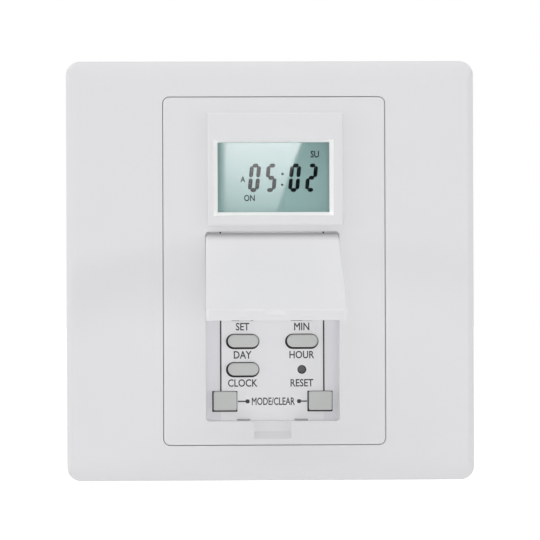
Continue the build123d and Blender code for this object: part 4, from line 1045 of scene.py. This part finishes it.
class SWITCH_OT_stage(bpy.types.Operator):
    """Sets the floor, the lamps, the world and the camera."""

    bl_idname = "switch.stage"
    bl_label = "Stage"

    # Name, place, width and height in metres, watts, shows in gloss, casts shadows.
    # The fills cast none, so the low one shines through the floor and lightens the lower seam.
    lamps = (
        ("key_lamp", (-0.3, -0.6, 1.45), (2.0, 1.4), 10.4, True, True),
        ("front_lamp", (0.2, -1.25, -0.02), (0.8, 0.14), 1.45, False, True),
        ("left_lamp", (-1.25, -0.38, 0.02), (0.5, 0.16), 1.7, False, True),
        ("left_fill", (-1.25, -0.38, 0.02), (0.5, 0.16), 1.7, False, False),
        ("right_lamp", (1.15, -0.6, 0.02), (0.5, 0.16), 2.0, False, True),
        ("right_fill", (1.15, -0.6, 0.02), (0.5, 0.16), 0.5, False, False),
        ("low_fill", (0.0, -0.4, -1.2), (0.5, 0.16), 1.7, False, False),
    )

    def execute(self, context):
        look = context.scene.switch_stage
        self.world(context.scene, look.ambient)
        for name, place, (width, height), watts, gloss, shadow in self.lamps:
            light = bpy.data.lights.new(name, "AREA")
            light.shape = "RECTANGLE"
            light.size = width
            light.size_y = height
            light.energy = watts
            light.use_shadow = shadow
            lamp = bpy.data.objects.new(name, light)
            lamp.location = place
            lamp.rotation_euler = Vector(place).to_track_quat("Z", "Y").to_euler()
            lamp.visible_glossy = gloss
            lamp.visible_transmission = gloss
            context.scene.collection.objects.link(lamp)
        self.floor(look)
        self.card()
        self.camera(context.scene, look)
        context.scene.view_settings.view_transform = "Standard"
        return {"FINISHED"}

    @staticmethod
    def world(scene, ambient):
        """Even light, and plain white where the camera, glass or gloss sees past the object."""
        world = bpy.data.worlds.new("studio")
        world.use_nodes = True
        scene.world = world
        look = Look(world.node_tree)
        seen = look.node("LightPath", output="Is Camera Ray")
        for ray in ("Is Glossy Ray", "Is Transmission Ray"):
            seen = seen.larger(look.node("LightPath", output=ray))
        light = look.node("Background", None, {"Color": (1, 1, 1, 1), "Strength": ambient})
        white = look.node("Background", None, {"Color": (1, 1, 1, 1), "Strength": 1.0})
        both = look.node("MixShader", None, {"Fac": seen, "Shader": light, "Shader_001": white})
        look.node("OutputWorld", None, {"Surface": both})

    @staticmethod
    def floor(look):
        """A wide pale floor that brightens to white for the camera and keeps the shadow."""
        rise = cad_box[0].z - look.floor_drop
        half = 4.0
        glow_strength = 0.7
        side = np.array([-half, half])
        x, y = (a.ravel() for a in np.meshgrid(side, side, indexing="ij"))
        points = np.stack([x, y, 0 * x + rise], 1)
        mesh = mesh_of("floor", points, np.array([[0, 2, 3, 1]]))
        material = bpy.data.materials.new("floor_paper")
        material.use_nodes = True
        shader = Look(material.node_tree)
        fibre = shader.noise(2 * MM, 2.0)
        paper = shader.node("BsdfPrincipled", None, {
            "Base Color": shader.tint((0.9, 0.9, 0.9, 1.0), 0.98 + fibre * 0.04), "Roughness": 0.9,
        })
        seen = shader.node("LightPath", output="Is Camera Ray")
        glow = shader.node("Emission", None, {"Color": (1, 1, 1, 1), "Strength": seen * glow_strength})
        both = shader.node("AddShader", None, {"Shader": paper, "Shader_001": glow})
        shader.node("OutputMaterial", None, {"Surface": both})
        mesh.materials.append(material)
        floor = bpy.data.objects.new("floor", mesh)
        bpy.context.scene.collection.objects.link(floor)

    @staticmethod
    def card():
        """A small card behind the camera, which shines in the display's glass.

        It is bright on the left of a slanting line and black on its right, fades out towards its
        left edge and brightens upwards.
        """
        distance = 1.2
        foot = 30 * MM
        height = 60 * MM
        dim, gain = 0.22, 3.0
        left_edge, left_fade, left_power = -5.7 * MM, 4.75 * MM, 1.6
        right_edge, right_fade, slant = 28 * MM, 0.8 * MM, 0.367
        corners = np.array([[-30, 10], [90, 10], [90, 115], [-30, 115]]) * MM
        points = np.stack([corners[:, 0], 0 * corners[:, 0] - distance, corners[:, 1]], 1)
        mesh = mesh_of("bright_card", points, np.array([[3, 2, 1, 0]]))
        material = bpy.data.materials.new("card_glow")
        material.use_nodes = True
        shader = Look(material.node_tree)
        x, _, z = shader.axes()
        upwards = ((z - foot) / height) * gain + dim
        left = ((x - left_edge) / left_fade).clipped() ** left_power
        right = (((z - foot) * slant + right_edge - x) / right_fade).clipped()
        links = {"Color": (1, 0.95, 0.955, 1), "Strength": upwards * left * right}
        glow = shader.node("Emission", None, links)
        shader.node("OutputMaterial", None, {"Surface": glow})
        mesh.materials.append(material)
        card = bpy.data.objects.new("bright_card", mesh)
        card.visible_camera = False
        card.visible_diffuse = False
        card.visible_shadow = False
        bpy.context.scene.collection.objects.link(card)

    @staticmethod
    def camera(scene, look):
        """The camera, turned to its aim and then rolled."""
        full_frame = 36.0
        lens = bpy.data.cameras.new("camera")
        lens.lens = look.focal_length
        lens.sensor_width = full_frame
        camera = bpy.data.objects.new("camera", lens)
        place = Vector(look.camera_place)
        view = (Vector(look.aim) - place).to_track_quat("-Z", "Y").to_matrix().to_4x4()
        camera.matrix_world = Matrix.Translation(place) @ view @ Matrix.Rotation(-look.roll, 4, "Z")
        scene.collection.objects.link(camera)
        scene.camera = camera


class SWITCH_PT_looks(bpy.types.Panel):
    """Settings and steps of the timer switch's looks."""

    bl_idname = "SWITCH_PT_looks"
    bl_label = "Timer switch"
    bl_space_type = "VIEW_3D"
    bl_region_type = "UI"
    bl_category = "Timer switch"

    def draw(self, context):
        for group in GROUPS:
            settings = getattr(context.scene, group)
            box = self.layout.box()
            for key in settings.__annotations__:
                box.prop(settings, key)
        for step in STEPS:
            self.layout.operator("switch." + step)


GROUPS = {
    "switch_mouldings": SwitchMouldings,
    "switch_keypad": SwitchKeypad,
    "switch_display": SwitchDisplay,
    "switch_case": SwitchCase,
    "switch_stage": SwitchStage,
}
STEPS = ("mouldings", "keypad", "labels", "display", "boards", "case", "stage")
CLASSES = (
    *GROUPS.values(),
    SWITCH_OT_mouldings,
    SWITCH_OT_keypad,
    SWITCH_OT_labels,
    SWITCH_OT_display,
    SWITCH_OT_boards,
    SWITCH_OT_case,
    SWITCH_OT_stage,
    SWITCH_PT_looks,
)


def register():
    """Registers the classes, and hangs each group of settings on the scene."""
    for cls in CLASSES:
        bpy.utils.register_class(cls)
    for name, group in GROUPS.items():
        setattr(bpy.types.Scene, name, bpy.props.PointerProperty(type=group))


def unregister():
    """Takes back what register did."""
    for name in GROUPS:
        delattr(bpy.types.Scene, name)
    for cls in reversed(CLASSES):
        bpy.utils.unregister_class(cls)


def main():
    register()
    for step in STEPS:
        getattr(bpy.ops.switch, step)()


if __name__ == "__main__":
    main()
